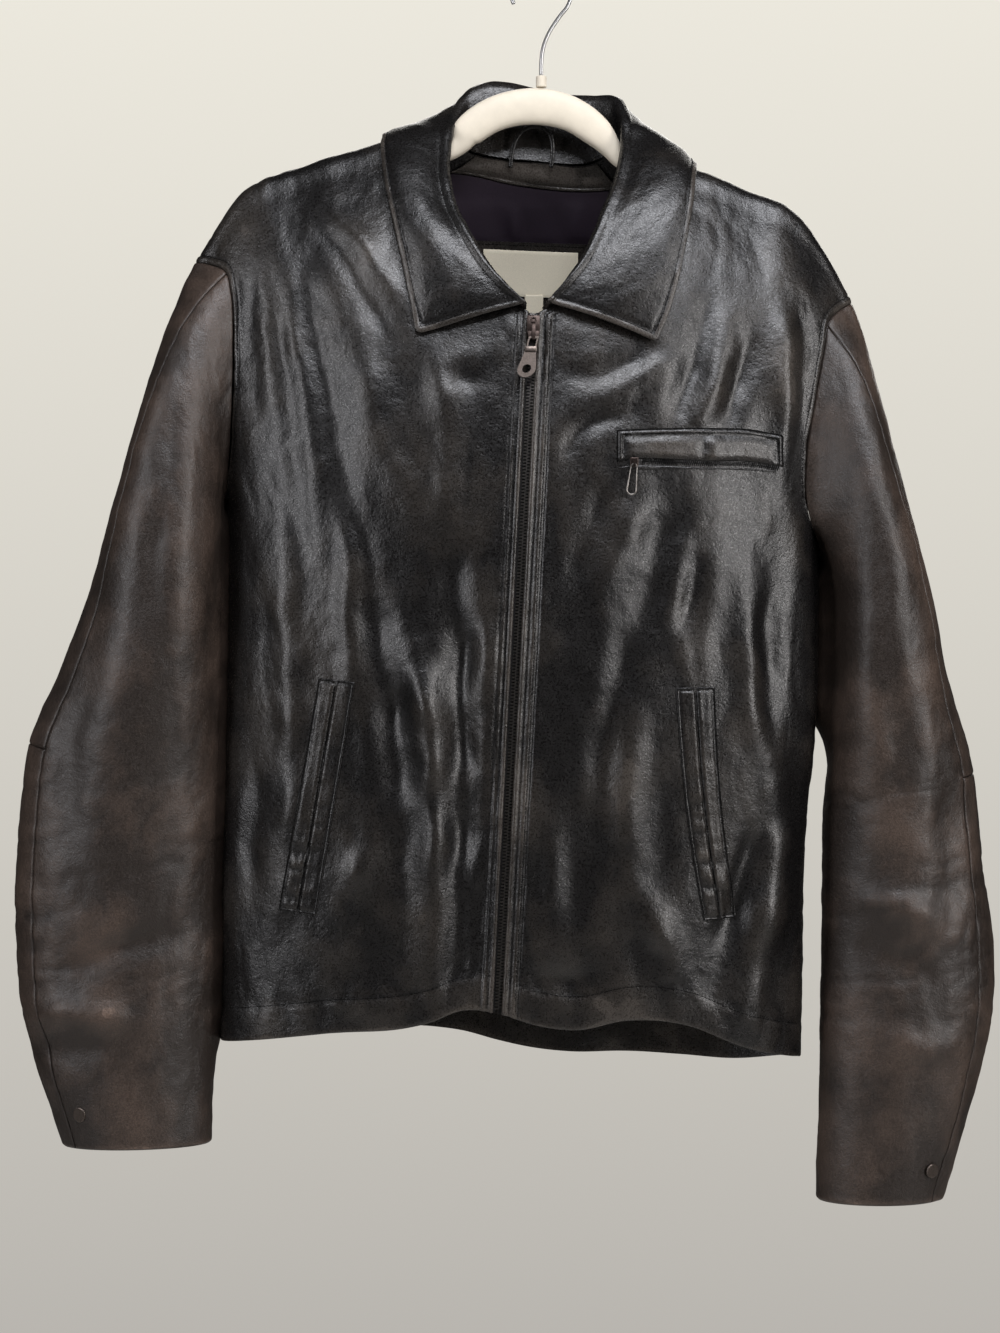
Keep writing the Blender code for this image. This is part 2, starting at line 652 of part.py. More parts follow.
SLEEVE_ROWS = (0, 0.035, 0.08, 0.14, 0.21, 0.29, 0.37, 0.45, 0.52, 0.59, 0.66, 0.74, 0.82, 0.91, 1)
TURNS = [math.pi * part for part in ARM_ROWS] + [2 * math.pi - math.pi * part for part in ARM_ROWS[-2:0:-1]]
STRIP_COLUMN = ARM_ROWS.index(0.22)
BACK_COLUMN = TURNS.index(2 * math.pi - math.pi * 0.58)


def ring_points(rings, turn, down):
    """Points of a plain sleeve: turn 0 is its outer line, half a turn its inner; down goes to the cuff."""
    keys = np.linspace(0, 1, len(rings))
    ring = Ring(*(through(keys, [getattr(row, name) for row in rings], down) for name in Ring._fields))
    outer = np.stack([ring.out_x, ring.out_z], axis=-1)
    inner = np.stack([ring.in_x, ring.in_z], axis=-1)
    plane = (outer + inner) / 2 + (outer - inner) / 2 * np.cos(turn)[..., None]
    y = (ring.back + ring.front) / 2 - (ring.back - ring.front) / 2 * np.sin(turn)
    return np.stack([plane[..., 0], y, plane[..., 1]], axis=-1)


def sleeve(rings, loop, towards):
    """Grid of a sleeve whose first ring is the given loop of armhole points."""
    turn, down = np.meshgrid(TURNS, SLEEVE_ROWS)
    points = ring_points(rings, turn, down)
    left_over = (loop - points[0])[None, :, :]
    points = points + left_over * ((1 - np.clip(down / ARMHOLE_REACH, 0, 1)) ** 2.5)[..., None]
    normals = round_normals(points, towards)
    shift = np.where(normals[..., 1] > 0, 25.0, 0.0)
    height = relief(SLEEVE_FOLDS, points[..., 0], points[..., 2] + shift) * np.abs(normals[..., 1])
    height = height * smooth(down / 0.12) * smooth((1 - down) / 0.06)
    points = points + normals * height[..., None]
    return points, round_normals(points, towards)


def round_normals(points, towards):
    """Outward directions of a grid that closes on itself across its columns."""
    doubled = np.concatenate([points[:, -1:], points, points[:, :1]], axis=1)
    found = unit(np.cross(np.gradient(doubled, axis=1), np.gradient(doubled, axis=0)))[:, 1:-1]
    return found if np.dot(found[points.shape[0] // 2, 0], towards) > 0 else -found


def armhole(front, front_column, back, back_column):
    """The loop of seam points and directions: shoulder point, down the front, up the back."""
    last = len(ARM_ROWS)
    loops = []
    for k in range(2):
        loops.append(np.concatenate([front[k][:last, front_column], back[k][last - 2 : 0 : -1, back_column]]))
    return loops


def mitre(first, second):
    """Where two seamed walls meet at a blunt angle both take the direction between them."""
    share = smooth((np.sum(first * second, axis=-1, keepdims=True) - 0.2) / 0.4)
    between = unit(first + second)
    return unit(first * (1 - share) + between * share), unit(second * (1 - share) + between * share)


def sew_sleeve(panels, side):
    """Grid of one sleeve. It also turns the edges of the body panels that it meets."""
    front_name, back_column = ("front_right", 0) if side == "right" else ("front_left", -1)
    front, back = panels[front_name], panels["back"]
    loop, body_normals = armhole(front, -1, back, back_column)
    rings = SLEEVE_RIGHT if side == "right" else SLEEVE_LEFT
    points, normals = sleeve(rings, loop, (-1, 0, 0) if side == "right" else (1, 0, 0))
    body_normals, normals[0] = mitre(body_normals, normals[0])
    last = len(ARM_ROWS)
    front[1][: last - 1, -1] = body_normals[: last - 1]
    back[1][1 : last - 1, back_column] = body_normals[last:][::-1]
    back[1][0, back_column] = body_normals[0]
    return points, normals


def make_sleeve(points, normals, side):
    count = len(TURNS)
    elbow = SLEEVE_ROWS.index(0.59)
    front = list(range(STRIP_COLUMN, BACK_COLUMN + 1))
    back = list(range(BACK_COLUMN, count)) + list(range(0, STRIP_COLUMN + 1))
    every = list(range(len(SLEEVE_ROWS)))
    pieces = {
        f"sleeve_{side}_front": (every, front),
        f"sleeve_{side}_back": (every[: elbow + 1], back),
        f"sleeve_{side}_elbow": (every[elbow:], back),
    }
    for name, (rows, columns) in pieces.items():
        piece = points[np.ix_(rows, columns)]
        wall(name, trimmed(piece, 0.3), normals[np.ix_(rows, columns)], LEATHER, BROWN_LEATHER)


# ---------------------------------------------------------------- collar

FALL_ROW = 5  # of a collar section, where it has come over the roll and lies on the outside of the body


def neck_place(station):
    """The neckline point of a station, the body's outward direction there, and the way into the neck."""
    table = dict(right=NECK_RIGHT, back=NECK_BACK, left=NECK_LEFT)[station.seam]
    face = "back" if station.seam == "back" else "front"
    near = []
    for part in (station.part - 0.01, station.part + 0.01):
        x, z = seam_places(table, part)
        near.append(body_points(face, turn_at(x, z), z))
    x, z = seam_places(table, station.part)
    here = body_points(face, turn_at(x, z), z)
    turn = turn_at(x, z)
    around = body_points(face, turn + 0.01, z) - body_points(face, turn - 0.01, z)
    upward = body_points(face, turn, z + 0.5) - body_points(face, turn, z - 0.5)
    normal = unit(np.cross(around, upward))
    if np.dot(normal, (0, -1 if face == "front" else 1, 0.3)) < 0:
        normal = -normal
    seam = unit(near[1] - near[0])
    inward = unit(np.cross(seam, normal))
    if np.dot(inward, (-here[0] - 5, 10 - here[1], 30)) < 0:
        inward = -inward
    return here, normal, inward


def collar_section(station):
    """Points across the collar from the neckline seam, over the roll, to its outer edge."""
    here, normal, inward = neck_place(station)
    base = here - normal * LEATHER + inward * SEAM * 4.5
    roll = np.array([station.roll_x, station.roll_y, station.roll_z], float)
    edge = np.array([station.edge_x, station.edge_y, station.edge_z], float)
    stand = unit(roll - base)
    fall = edge - roll
    side = unit(fall - np.dot(fall, stand) * stand)
    middle = roll - stand * station.round
    arc = []
    for k in range(5):
        angle = math.pi * k / 4
        arc.append(middle + station.round * (stand * math.sin(angle) - side * math.cos(angle)))
    fall = edge - arc[-1]
    outward = unit(stand - np.dot(stand, unit(fall)) * unit(fall))
    leaf = []
    for share, swell in ((0.2, 0.6), (0.45, 1), (0.73, 0.8), (1, 0)):
        leaf.append(arc[-1] + fall * share + outward * station.bulge * swell)
    return [base, (base + arc[0]) / 2] + arc + leaf, -normal


def make_collar(trees):
    sections = [collar_section(station) for station in COLLAR_STATIONS]
    points = np.array([section[0] for section in sections]).transpose(1, 0, 2)
    for column, station in enumerate(COLLAR_STATIONS):
        outside = 1 if station.seam == "back" else -1
        for row in range(FALL_ROW, len(points)):
            x, y, z = points[row, column]
            hit = trees[station.seam].ray_cast(Vector((x, 300 * outside, z)), Vector((0, -outside, 0)))[0]
            if hit is not None:
                points[row, column, 1] = outside * max(y * outside, hit.y * outside + COLLAR + LEAF_LIFT)
            near, normal = trees[station.seam].find_nearest(Vector(points[row, column]))[:2]
            away = (Vector(points[row, column]) - near).length
            points[row, column] += np.array(normal) * max(COLLAR + LEAF_LEAST - away, 0)
    normals = normals_of(points, (0, 0, 1))
    top = points.shape[1] // 2
    if normals[-1, top, 1] < 0:
        normals = -normals
    normals[0] = np.array([section[1] for section in sections])
    wall("collar", points, normals, COLLAR, BLACK_LEATHER)


# ---------------------------------------------------------------- pieces laid on a panel

def surface_of(name):
    """The faces of a finished cloth piece, to lay others on."""
    mesh = bpy.data.objects[name].data
    mesh.calc_loop_triangles()
    points = [vertex.co / MM for vertex in mesh.vertices]
    return BVHTree.FromPolygons(points, [tuple(face.vertices) for face in mesh.loop_triangles])


def plain_normal(face, x, z):
    turn = turn_at(x, z)
    around = body_points(face, turn + 0.01, z) - body_points(face, turn - 0.01, z)
    upward = body_points(face, turn, z + 2) - body_points(face, turn, z - 2)
    found = unit(np.cross(around, upward))
    flip = np.where(found[..., 1] > 0, 1, -1) if face == "back" else np.where(found[..., 1] < 0, 1, -1)
    return found * flip[..., None]


def laid(tree, face, x, z, lift):
    """Points of the panel's outside for a front, or its inside for the back, lifted off the leather."""
    normals = plain_normal(face, x, z)
    if face == "back":
        normals = -normals
    points = np.zeros(x.shape + (3,))
    for index in np.ndindex(x.shape):
        start = -300 if face == "front" else 0
        hit = tree.ray_cast(Vector((x[index], start, z[index])), Vector((0, 1, 0)))[0]
        points[index] = hit
    return points + normals * lift, normals


def corners_of(left, right, top, bottom, drop=0.0):
    """Corners of an upright piece; its right end lies that much lower."""
    return ((left, top), (right, top - drop), (left, bottom), (right, bottom - drop))


def strip(name, tree, face, corners, shape, lift, thick, finish):
    """A four-cornered piece laid on a panel. Corners: top near and far, bottom near and far, as (x, z)."""
    down, across = np.meshgrid(np.linspace(0, 1, shape[0]), np.linspace(0, 1, shape[1]), indexing="ij")
    a, b, c, d = [np.array(corner, float) for corner in corners]
    upper = a + (b - a) * across[..., None]
    lower = c + (d - c) * across[..., None]
    flat = upper + (lower - upper) * down[..., None]
    inner, normals = laid(tree, face, flat[..., 0], flat[..., 1], lift)
    return wall(name, inner + normals * thick, normals, thick, finish)


def make_hand_pocket(side, corners, tree):
    """Two welts that meet along a slit."""
    near_top, near_bottom = np.array(corners["top"][:2]), np.array(corners["bottom"][:2])
    far_top, far_bottom = np.array(corners["top"][2:]), np.array(corners["bottom"][2:])
    half = POCKET_SLIT / 2 / abs(far_top[0] - near_top[0])
    for name, start, end in (("near", 0, 0.5 - half), ("far", 0.5 + half, 1)):
        square = [
            near_top + (far_top - near_top) * start,
            near_top + (far_top - near_top) * end,
            near_bottom + (far_bottom - near_bottom) * start,
            near_bottom + (far_bottom - near_bottom) * end,
        ]
        strip(f"pocket_{side}_{name}_welt", tree, "front", square, (13, 3), LAID, WELT, BLACK_LEATHER)


def make_chest_pocket(tree):
    box = CHEST
    for name, top, bottom, rows in (
        ("chest_pocket_welt", box["top"], CHEST_SLIT + 1.2, 4),
        ("chest_pocket_lip", CHEST_SLIT - 1.2, box["bottom"], 2),
    ):
        square = corners_of(box["left"], box["right"], top, bottom)
        strip(name, tree, "front", square, (rows, 18), LAID, WELT, BLACK_LEATHER)
    left, right = box["left"] + 3, box["right"] - 3
    square = corners_of(left, right, CHEST_SLIT + 0.6, CHEST_SLIT - 0.6)
    strip("chest_pocket_teeth", tree, "front", square, (2, 18), LAID, 1.0, DARK_METAL)


# ---------------------------------------------------------------- zip

def zip_rows(panels):
    """The middle of the opening at each row beside the teeth, level with the outside of the fronts."""
    below = np.array(ROWS) >= NECK_SHARE - 1e-6
    right, left = panels["front_right"][0][below, 0], panels["front_left"][0][below, 0]
    middle = (right + left) / 2
    middle[:, 0] = zip_x(middle[:, 2])
    return middle


def make_zip(panels):
    middle = zip_rows(panels)
    normals = np.tile(np.array([0.0, -1.0, 0.0]), (len(middle), 1))
    aside = np.array([TEETH_WIDE / 2, 0, 0])
    proud = middle - np.array([0, TEETH_PROUD, 0])
    grid = np.stack([proud - aside, proud + aside], axis=1)
    wall("zip_teeth", grid, np.stack([normals, normals], axis=1), TEETH_THICK, DARK_METAL)
    below = np.array(ROWS) >= NECK_SHARE - 1e-6
    for side, sign in (("right", -1), ("left", 1)):
        points, directions = panels[f"front_{side}"]
        edge, next_in = points[below][:, 0], points[below][:, 1]
        leaning = directions[below][:, :2]
        reach = (TAPE_WIDE - ZIP_EDGE) / np.linalg.norm(next_in - edge, axis=1)[:, None]
        far = edge + (next_in - edge) * reach
        near = edge.copy()
        near[:, 0] -= sign * (ZIP_EDGE - TEETH_WIDE / 2 - SEAM)
        # Both rims of the tape lie behind the leather, in the plane of its first strip of faces.
        away = unit(leaning[:, 0] + leaning[:, 1])
        inward = LEATHER + 2 * SEAM
        grid = np.stack([near - away * inward, far - away * inward], axis=1)
        wall(f"zip_tape_{side}", grid, np.stack([away, away], axis=1), TAPE_THICK, TAPE_CLOTH)
    return middle


def box_at(name, place, centre, size, finish, bevel=0.0):
    """A box, its centre given in the frame that place sets down in the scene."""
    bpy.ops.mesh.primitive_cube_add(size=1)
    made = bpy.context.active_object
    made.name = name
    made.scale = Vector(size) * MM
    bpy.ops.object.transform_apply(location=False, rotation=False, scale=True)
    made.location = (place @ Vector(centre)) * MM
    made.rotation_euler = place.to_euler()
    if bevel:
        rounded = made.modifiers.new("rounded", "BEVEL")
        rounded.width = bevel * MM
        rounded.segments = 2
        rounded.limit_method = "NONE"
    made.data.materials.append(finish)
    move_to(made, parts)
    return made


def move_to(made, collection):
    for holder in list(made.users_collection):
        holder.objects.unlink(made)
    collection.objects.link(made)


def join(base, others):
    """Boolean union of small hard shapes into one casting."""
    for other in others:
        move_to(other, cutters)
        other.hide_render = True
        other.display_type = "WIRE"
        union = base.modifiers.new("union", "BOOLEAN")
        union.operation = "UNION"
        union.object = other


def slider_place(middle):
    """The zip slider's frame, tilted to the line of the teeth and clear of them, and that tilt."""
    reach = ZIP_SLIDER.tall / 2
    heights = np.linspace(SLIDER_Z - reach, SLIDER_Z + reach, 12)
    faces = np.interp(heights, middle[::-1, 2], middle[::-1, 1]) - TEETH_PROUD
    slope = (faces[-1] - faces[0]) / (heights[-1] - heights[0])
    y = np.min(faces - slope * (heights - SLIDER_Z)) - SEAM
    tilt = math.atan(slope)
    return Matrix.Translation((float(zip_x(SLIDER_Z)), y, SLIDER_Z)) @ Matrix.Rotation(-tilt, 4, "X"), tilt


def make_slider(name, slider, place):
    """A zip slider: a plate with a bridge on its face, under which the pull's bar turns.

    The frame has its origin behind the middle of the plate, on the teeth. Returns the hinge's place."""
    size = (slider.wide, slider.thick, slider.tall)
    plate = box_at(name, place, (0, -slider.thick / 2, 0), size, DARK_METAL, 0.6)
    hinge = Vector((0, -slider.thick - slider.room / 2, -slider.hinge_below))
    top, bottom = hinge.z + slider.bridge_above, hinge.z - 2.2
    over = -slider.thick - slider.room - 0.5
    bridge = [box_at(f"{name}_bridge", place, (0, over, (top + bottom) / 2),
                     (slider.bridge_wide, 1.0, top - bottom), DARK_METAL)]
    for k, height in enumerate((top - 0.5, bottom + 0.5)):
        leg = box_at(f"{name}_leg{k}", place, (0, -slider.thick - slider.room / 2, height),
                     (slider.bridge_wide - 0.02, slider.room + 0.8, 0.98), DARK_METAL)
        bridge.append(leg)
    join(plate, bridge)
    return place @ hinge


def flat_outline(name, rings, half_thick, location, tilt, finish):
    """A flat casting from closed outlines in its own x and z; the first is its rim, the others its holes."""
    curve = bpy.data.curves.new(name, "CURVE")
    curve.dimensions = "2D"
    curve.fill_mode = "BOTH"
    curve.extrude = half_thick * MM
    curve.resolution_u = 1
    for ring in rings:
        spline = curve.splines.new("POLY")
        spline.points.add(len(ring) - 1)
        for point, (x, z) in zip(spline.points, ring):
            point.co = (x * MM, z * MM, 0, 1)
        spline.use_cyclic_u = True
    made = bpy.data.objects.new(name, curve)
    curve.materials.append(finish)
    parts.objects.link(made)
    made.location = Vector(location) * MM
    made.rotation_euler = (math.radians(90) - tilt, 0, 0)
    return made


def lean(points, angle):
    """An outline that hangs aslant while the bar at its hinge stays level."""
    return [(x + z * math.tan(angle), z) for x, z in points]


def circle(x, z, radius, count, start=0.0, sweep=2 * math.pi):
    closed = sweep >= 2 * math.pi
    steps = count if closed else count - 1
    return [
        (x + radius * math.cos(start + sweep * k / steps), z + radius * math.sin(start + sweep * k / steps))
        for k in range(count)
    ]


def make_zip_pull(hinge, tilt):
    """Eye at the hinge, tongue below it, round end with a hole."""
    rim = [(-3.6, 0.8), (3.6, 0.8), (3.6, -8), (4.2, -11)]
    rim += circle(0, -23.4, 6.6, 14, math.radians(18), math.radians(-216))
    rim += [(-4.2, -11), (-3.6, -8)]
    eye = [(-2.5, -0.8), (-2.5, -6.8), (2.5, -6.8), (2.5, -0.8)]
    hole = circle(0, -23.4, 3.2, 16)
    rings = [lean(ring, PULL_LEAN) for ring in (rim, eye, hole)]
    return flat_outline("zip_pull", rings, 0.8, hinge, tilt, DARK_METAL)


def make_chest_pull(hinge, tilt):
    rim = [(-2.3, 0.7), (2.3, 0.7), (2.6, -4)]
    rim += circle(0, -18, 3.6, 10, math.radians(15), math.radians(-210))
    rim += [(-2.6, -4)]
    eye = [(-1.3, -0.7), (-1.5, -10), (1.5, -10), (1.3, -0.7)]
    hole = circle(0, -18, 1.7, 12)
    rings = [lean(ring, math.radians(5)) for ring in (rim, eye, hole)]
    return flat_outline("chest_pull", rings, 0.6, hinge, tilt, DARK_METAL)


# ---------------------------------------------------------------- hanger

def wire(name, points, diameter, finish):
    curve = bpy.data.curves.new(name, "CURVE")
    curve.dimensions = "3D"
    curve.bevel_depth = diameter / 2 * MM
    curve.bevel_resolution = 2
    curve.use_fill_caps = True
    spline = curve.splines.new("POLY")
    spline.points.add(len(points) - 1)
    for point, place in zip(spline.points, points):
        point.co = (*(Vector(place) * MM), 1)
    made = bpy.data.objects.new(name, curve)
    curve.materials.append(finish)
    parts.objects.link(made)
    return made


def make_hook():
    """Straight from the ferrule, a bend aside, then three quarters of a circle to the tip."""
    centre_z = -HOOK_RADIUS + WIRE / 2
    shaft = [(0, 0, FERRULE["top"] + 0.3)] + [(x, 0, z) for x, z in HOOK_BEND]
    start, end = math.radians(-44), math.radians(205)
    bow = []
    for k in range(19):
        angle = start + (end - start) * k / 18
        bow.append((HOOK_RADIUS * math.cos(angle), 0, centre_z + HOOK_RADIUS * math.sin(angle)))
    wire("hook", shaft + bow, WIRE, CHROME)
    radius, depth = FERRULE["radius"] * MM, (FERRULE["top"] - FERRULE["bottom"]) * MM
    middle = (0, 0, (FERRULE["top"] + FERRULE["bottom"]) / 2 * MM)
    bpy.ops.mesh.primitive_cylinder_add(vertices=24, radius=radius, depth=depth, location=middle)
    ferrule = bpy.context.active_object
    ferrule.name = "hook_ferrule"
    ferrule.data.materials.append(IVORY)
    edge = ferrule.modifiers.new("rounded", "BEVEL")
    edge.width = 0.8 * MM
    edge.segments = 2
    edge.limit_method = "ANGLE"
    move_to(ferrule, parts)


def bar_height(share):
    """Height of a bar's section, as a share of its half height, at a share of its half width."""
    return (1 - abs(share) ** (2 / HANGER_SQUARE)) ** (HANGER_SQUARE / 2)


def arm_top(x, trees):
    """The highest place of an arm's top at x, so that its round section clears the shoulder all along."""
    tops = []
    for aside in (-6, 0, 6):
        for share in (-0.97, -0.85, -0.6, -0.3, -0.1, 0.1, 0.3, 0.6, 0.85, 0.97):
            for tree in trees:
                start = Vector((x + aside, share * ARM_HALF, -330))
                hit = tree.ray_cast(start, Vector((0, 0, 1)))[0]
                if hit is not None:
                    tops.append(hit.z + ARM_TALL / 2 * (1 - bar_height(share)))
    return min(tops) - HANGER_PLAY


def hanger_bars(trees):
    right, left = [
        [Bar(x, arm_top(x, trees), ARM_TALL, ARM_HALF) for x in places]
        for places in (HANGER_ARMS_RIGHT, HANGER_ARMS_LEFT)
    ]
    bars = right + list(HANGER_NECK) + left
    first, last = bars[0], bars[-1]
    bars[0] = Bar(first.x, first.top - 4, 8, 3)
    bars[-1] = Bar(last.x, last.top - 4, 8, 3)
    return bars


def make_hanger(trees):
    sides = 12
    points, faces = [], []
    for bar in hanger_bars(trees):
        for k in range(sides):
            angle = 2 * math.pi * k / sides
            across = math.copysign(abs(math.cos(angle)) ** HANGER_SQUARE, math.cos(angle))
            upward = math.copysign(abs(math.sin(angle)) ** HANGER_SQUARE, math.sin(angle))
            points.append(np.array([bar.x, bar.half * across, bar.top + bar.tall / 2 * (upward - 1)]))
    count = len(points) // sides
    for r in range(count - 1):
        for k in range(sides):
            here, after = r * sides + k, r * sides + (k + 1) % sides
            faces.append((here, after, after + sides, here + sides))
    faces.append(tuple(reversed(range(sides))))
    faces.append(tuple(range((count - 1) * sides, count * sides)))
    made = add_mesh("hanger", points, faces, IVORY)
    for polygon in made.data.polygons:
        polygon.use_smooth = True


# ---------------------------------------------------------------- inside the neck

def make_neck_inside(tree):
    down, x = np.meshgrid(np.linspace(0, 1, 4), np.linspace(-49, 42, 10), indexing="ij")
    top = along(NECK_BACK, "x", "z", x) - 1.5
    x = x * (1 + 0.4 * down)
    z = top * (1 - down) + along(FACING_BOTTOM, "x", "z", x) * down
    inner, normals = laid(tree, "back", x, z, 0.7)
    wall("neck_facing", inner + normals * 1.2, normals, 1.2, BLACK_LEATHER)
    down, x = np.meshgrid(np.linspace(0, 1, 8), np.linspace(*LINING_SIDES, 12), indexing="ij")
    top = along(FACING_BOTTOM, "x", "z", x) - 1
    inner, normals = laid(tree, "back", x, top * (1 - down) + LINING_BOTTOM * down, LINING_LIFT)
    wall("back_lining", inner + normals * LINING, normals, LINING, SATIN)
    lift = LINING_LIFT + LINING + 0.6
    for name, box, shape, thick, finish in (
        ("label_patch", PATCH, (5, 8), 1.0, BLACK_LEATHER),
        ("neck_label", LABEL, (4, 7), 0.6, CREAM),
    ):
        square = corners_of(box["left"], box["right"], box["top"] + 1.5, box["bottom"] + 1.5, 3)
        strip(name, tree, "back", square, shape, lift, thick, finish)
        lift += thick + 0.4
    box = SIZE_TAB
    square = corners_of(box["left"], box["right"], box["top"], box["bottom"])
    strip("size_tab", tree, "back", square, (3, 3), lift, 0.5, CREAM)
    route = []
    for x, z in LOOP:
        y = 13.5 if z < -140 else 12.0
        route.append((x, y, z))
    wire("hanger_loop", route, LOOP_THICK, BLACK_LEATHER)


def make_snap(name, place, trees):
    """A snap cap lying square on the sleeve's front."""
    x, z = place
    hits = [tree.ray_cast(Vector((x, -300, z)), Vector((0, 1, 0))) for tree in trees]
    hit = min((found for found in hits if found[0] is not None), key=lambda found: found[0].y)
    point, normal = hit[0], hit[1] if hit[1].y < 0 else -hit[1]
    thick = 1.8
    centre = point + normal * (0.5 + thick / 2)
    radius, depth = SNAP_RADIUS * MM, thick * MM
    bpy.ops.mesh.primitive_cylinder_add(vertices=20, radius=radius, depth=depth, location=centre * MM)
    made = bpy.context.active_object
    made.name = name
    made.rotation_euler = normal.to_track_quat("Z", "Y").to_euler()
    made.data.materials.append(DARK_METAL)
    edge = made.modifiers.new("rounded", "BEVEL")
    edge.width = 0.6 * MM
    edge.segments = 2
    edge.limit_method = "ANGLE"
    move_to(made, parts)


# ---------------------------------------------------------------- the jacket

for old in list(bpy.data.objects):
    bpy.data.objects.remove(old)
parts = bpy.data.collections.new("leather_jacket")
cutters = bpy.data.collections.new("cutters")
bpy.context.scene.collection.children.link(parts)
bpy.context.scene.collection.children.link(cutters)

BLACK_LEATHER = material("black_leather", (0.022, 0.02, 0.019), 0.38)
BROWN_LEATHER = material("worn_leather", (0.035, 0.028, 0.024), 0.48)
SATIN = material("lining_satin", (0.03, 0.022, 0.03), 0.45)
CREAM = material("label_cream", (0.75, 0.7, 0.58), 0.8)
TAPE_CLOTH = material("zip_tape", (0.02, 0.018, 0.018), 0.85)
DARK_METAL = material("antique_metal", (0.12, 0.1, 0.09), 0.42, 1.0)
IVORY = material("ivory_plastic", (0.78, 0.72, 0.6), 0.5)
CHROME = material("hook_wire", (0.75, 0.75, 0.74), 0.2, 1.0)

panels = body_panels()
sleeves = {side: sew_sleeve(panels, side) for side in ("right", "left")}
for name, (points, normals) in panels.items():
    wall(name, trimmed(points), normals, LEATHER, BLACK_LEATHER)
for side, (points, normals) in sleeves.items():
    make_sleeve(points, normals, side)

right_tree, left_tree, back_tree = [surface_of(name) for name in ("front_right", "front_left", "back")]
make_collar(dict(right=right_tree, left=left_tree, back=back_tree))
make_hand_pocket("right", HAND_RIGHT, right_tree)
make_hand_pocket("left", HAND_LEFT, left_tree)
make_chest_pocket(left_tree)
make_neck_inside(back_tree)

place, slope = slider_place(make_zip(panels))
make_zip_pull(make_slider("zip_slider", ZIP_SLIDER, place), slope)

lip = laid(left_tree, "front", np.array([CHEST_PULL_X]), np.array([CHEST_SLIT]), LAID + WELT)[0][0]
place = Matrix.Translation((CHEST_PULL_X, lip[1] - 0.5, CHEST_SLIT))
make_chest_pull(make_slider("chest_slider", CHEST_SLIDER, place), 0)

for name, place in SNAPS.items():
    side = "right" if name.endswith("right") else "left"
    trees = [surface_of(f"sleeve_{side}_{piece}") for piece in ("front", "elbow")]
    make_snap(name, place, trees)

make_hanger((right_tree, left_tree, back_tree))
make_hook()
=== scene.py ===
"""Looks of a worn black leather zip jacket that hangs closed on a moulded hanger, over its solid model.

Metres in the scene, millimetres in the tables, +Z up. -Y is the front and +X is the wearer's left. The
origin is the inside of the hook's crown. Every piece of leather is a thin shell on its solid's form, with
the creases it has taken in wear.
"""

import math
from collections import Counter, namedtuple

import bmesh
import bpy
import numpy as np
from mathutils import Matrix, Vector
from mathutils.bvhtree import BVHTree


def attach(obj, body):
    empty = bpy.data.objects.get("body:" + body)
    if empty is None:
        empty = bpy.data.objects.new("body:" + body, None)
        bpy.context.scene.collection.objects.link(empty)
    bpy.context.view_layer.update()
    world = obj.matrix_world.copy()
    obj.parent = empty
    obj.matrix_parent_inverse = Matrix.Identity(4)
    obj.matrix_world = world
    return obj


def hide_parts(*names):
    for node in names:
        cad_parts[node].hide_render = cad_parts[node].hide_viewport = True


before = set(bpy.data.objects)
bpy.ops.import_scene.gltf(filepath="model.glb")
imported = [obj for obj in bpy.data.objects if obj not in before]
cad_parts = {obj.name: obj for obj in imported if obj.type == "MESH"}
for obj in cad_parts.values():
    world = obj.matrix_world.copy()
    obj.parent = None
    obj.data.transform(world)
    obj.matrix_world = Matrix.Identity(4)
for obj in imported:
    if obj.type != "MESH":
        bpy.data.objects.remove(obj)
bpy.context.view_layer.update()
bpy.ops.object.select_all(action="DESELECT")

MM = 0.001
SEAM = 0.4  # the gap between two pieces that are sewn together
# Thicknesses.
LEATHER = 1.8
COLLAR = 2.2
LINING = 1.0


def rows_of(kind, rows):
    return [kind(*row) for row in rows]


# ---------------------------------------------------------------- sizes: body

# The two side lines of the body, where the front and the back meet.
Side = namedtuple("Side", "z right left")
SIDES = rows_of(Side, (
    (-120, -300, 272), (-200, -296, 269), (-235, -278, 262), (-262, -256, 251), (-285, -246, 238),
    (-330, -238, 222), (-400, -233, 208), (-480, -233, 206), (-560, -234, 204.5), (-640, -235.5, 197),
    (-720, -237, 194.5), (-830, -239, 192.5),
))

# The ridge of the shoulders from the wearer's right to left; it runs on, unseen, across the neck.
Ridge = namedtuple("Ridge", "x z")
SHOULDER = rows_of(Ridge, (
    (-272, -245), (-258, -223), (-243, -199), (-225, -174), (-208, -162), (-180, -151.5), (-146, -141),
    (-114, -132.5), (-72, -126), (-30, -122.5), (20, -125), (62, -133.5), (115, -153), (155, -169.5),
    (185, -183), (204, -203), (219, -229), (231.5, -253.5), (244, -278),
))

# How far front and back stand out from the plane of the hanger, by the drop below the shoulder ridge.
# It adds to the round of the ridge itself.
Swell = namedtuple("Swell", "drop front back")
SWELL = rows_of(Swell, (
    (0, 0, 0), (13, 2, 3), (30, 11, 9), (60, 27, 18), (100, 44, 28), (144, 57, 36), (200, 66, 42),
    (300, 72, 48), (400, 71, 48), (520, 65, 46), (700, 55, 44),
))

RIDGE_ROUND = 13
FULLNESS = 0.8  # power of the cosine across a body section, 1 would be an ellipse

# Front opening. The zip hangs a little off plumb.
ZIP_TOP = (-6, -268)
ZIP_BOTTOM = (-32, -772)
ZIP_EDGE = 3.7  # from the middle of the teeth to the leather on each side
LEFT_COVER = 1.5  # how much nearer to the teeth the left edge lies

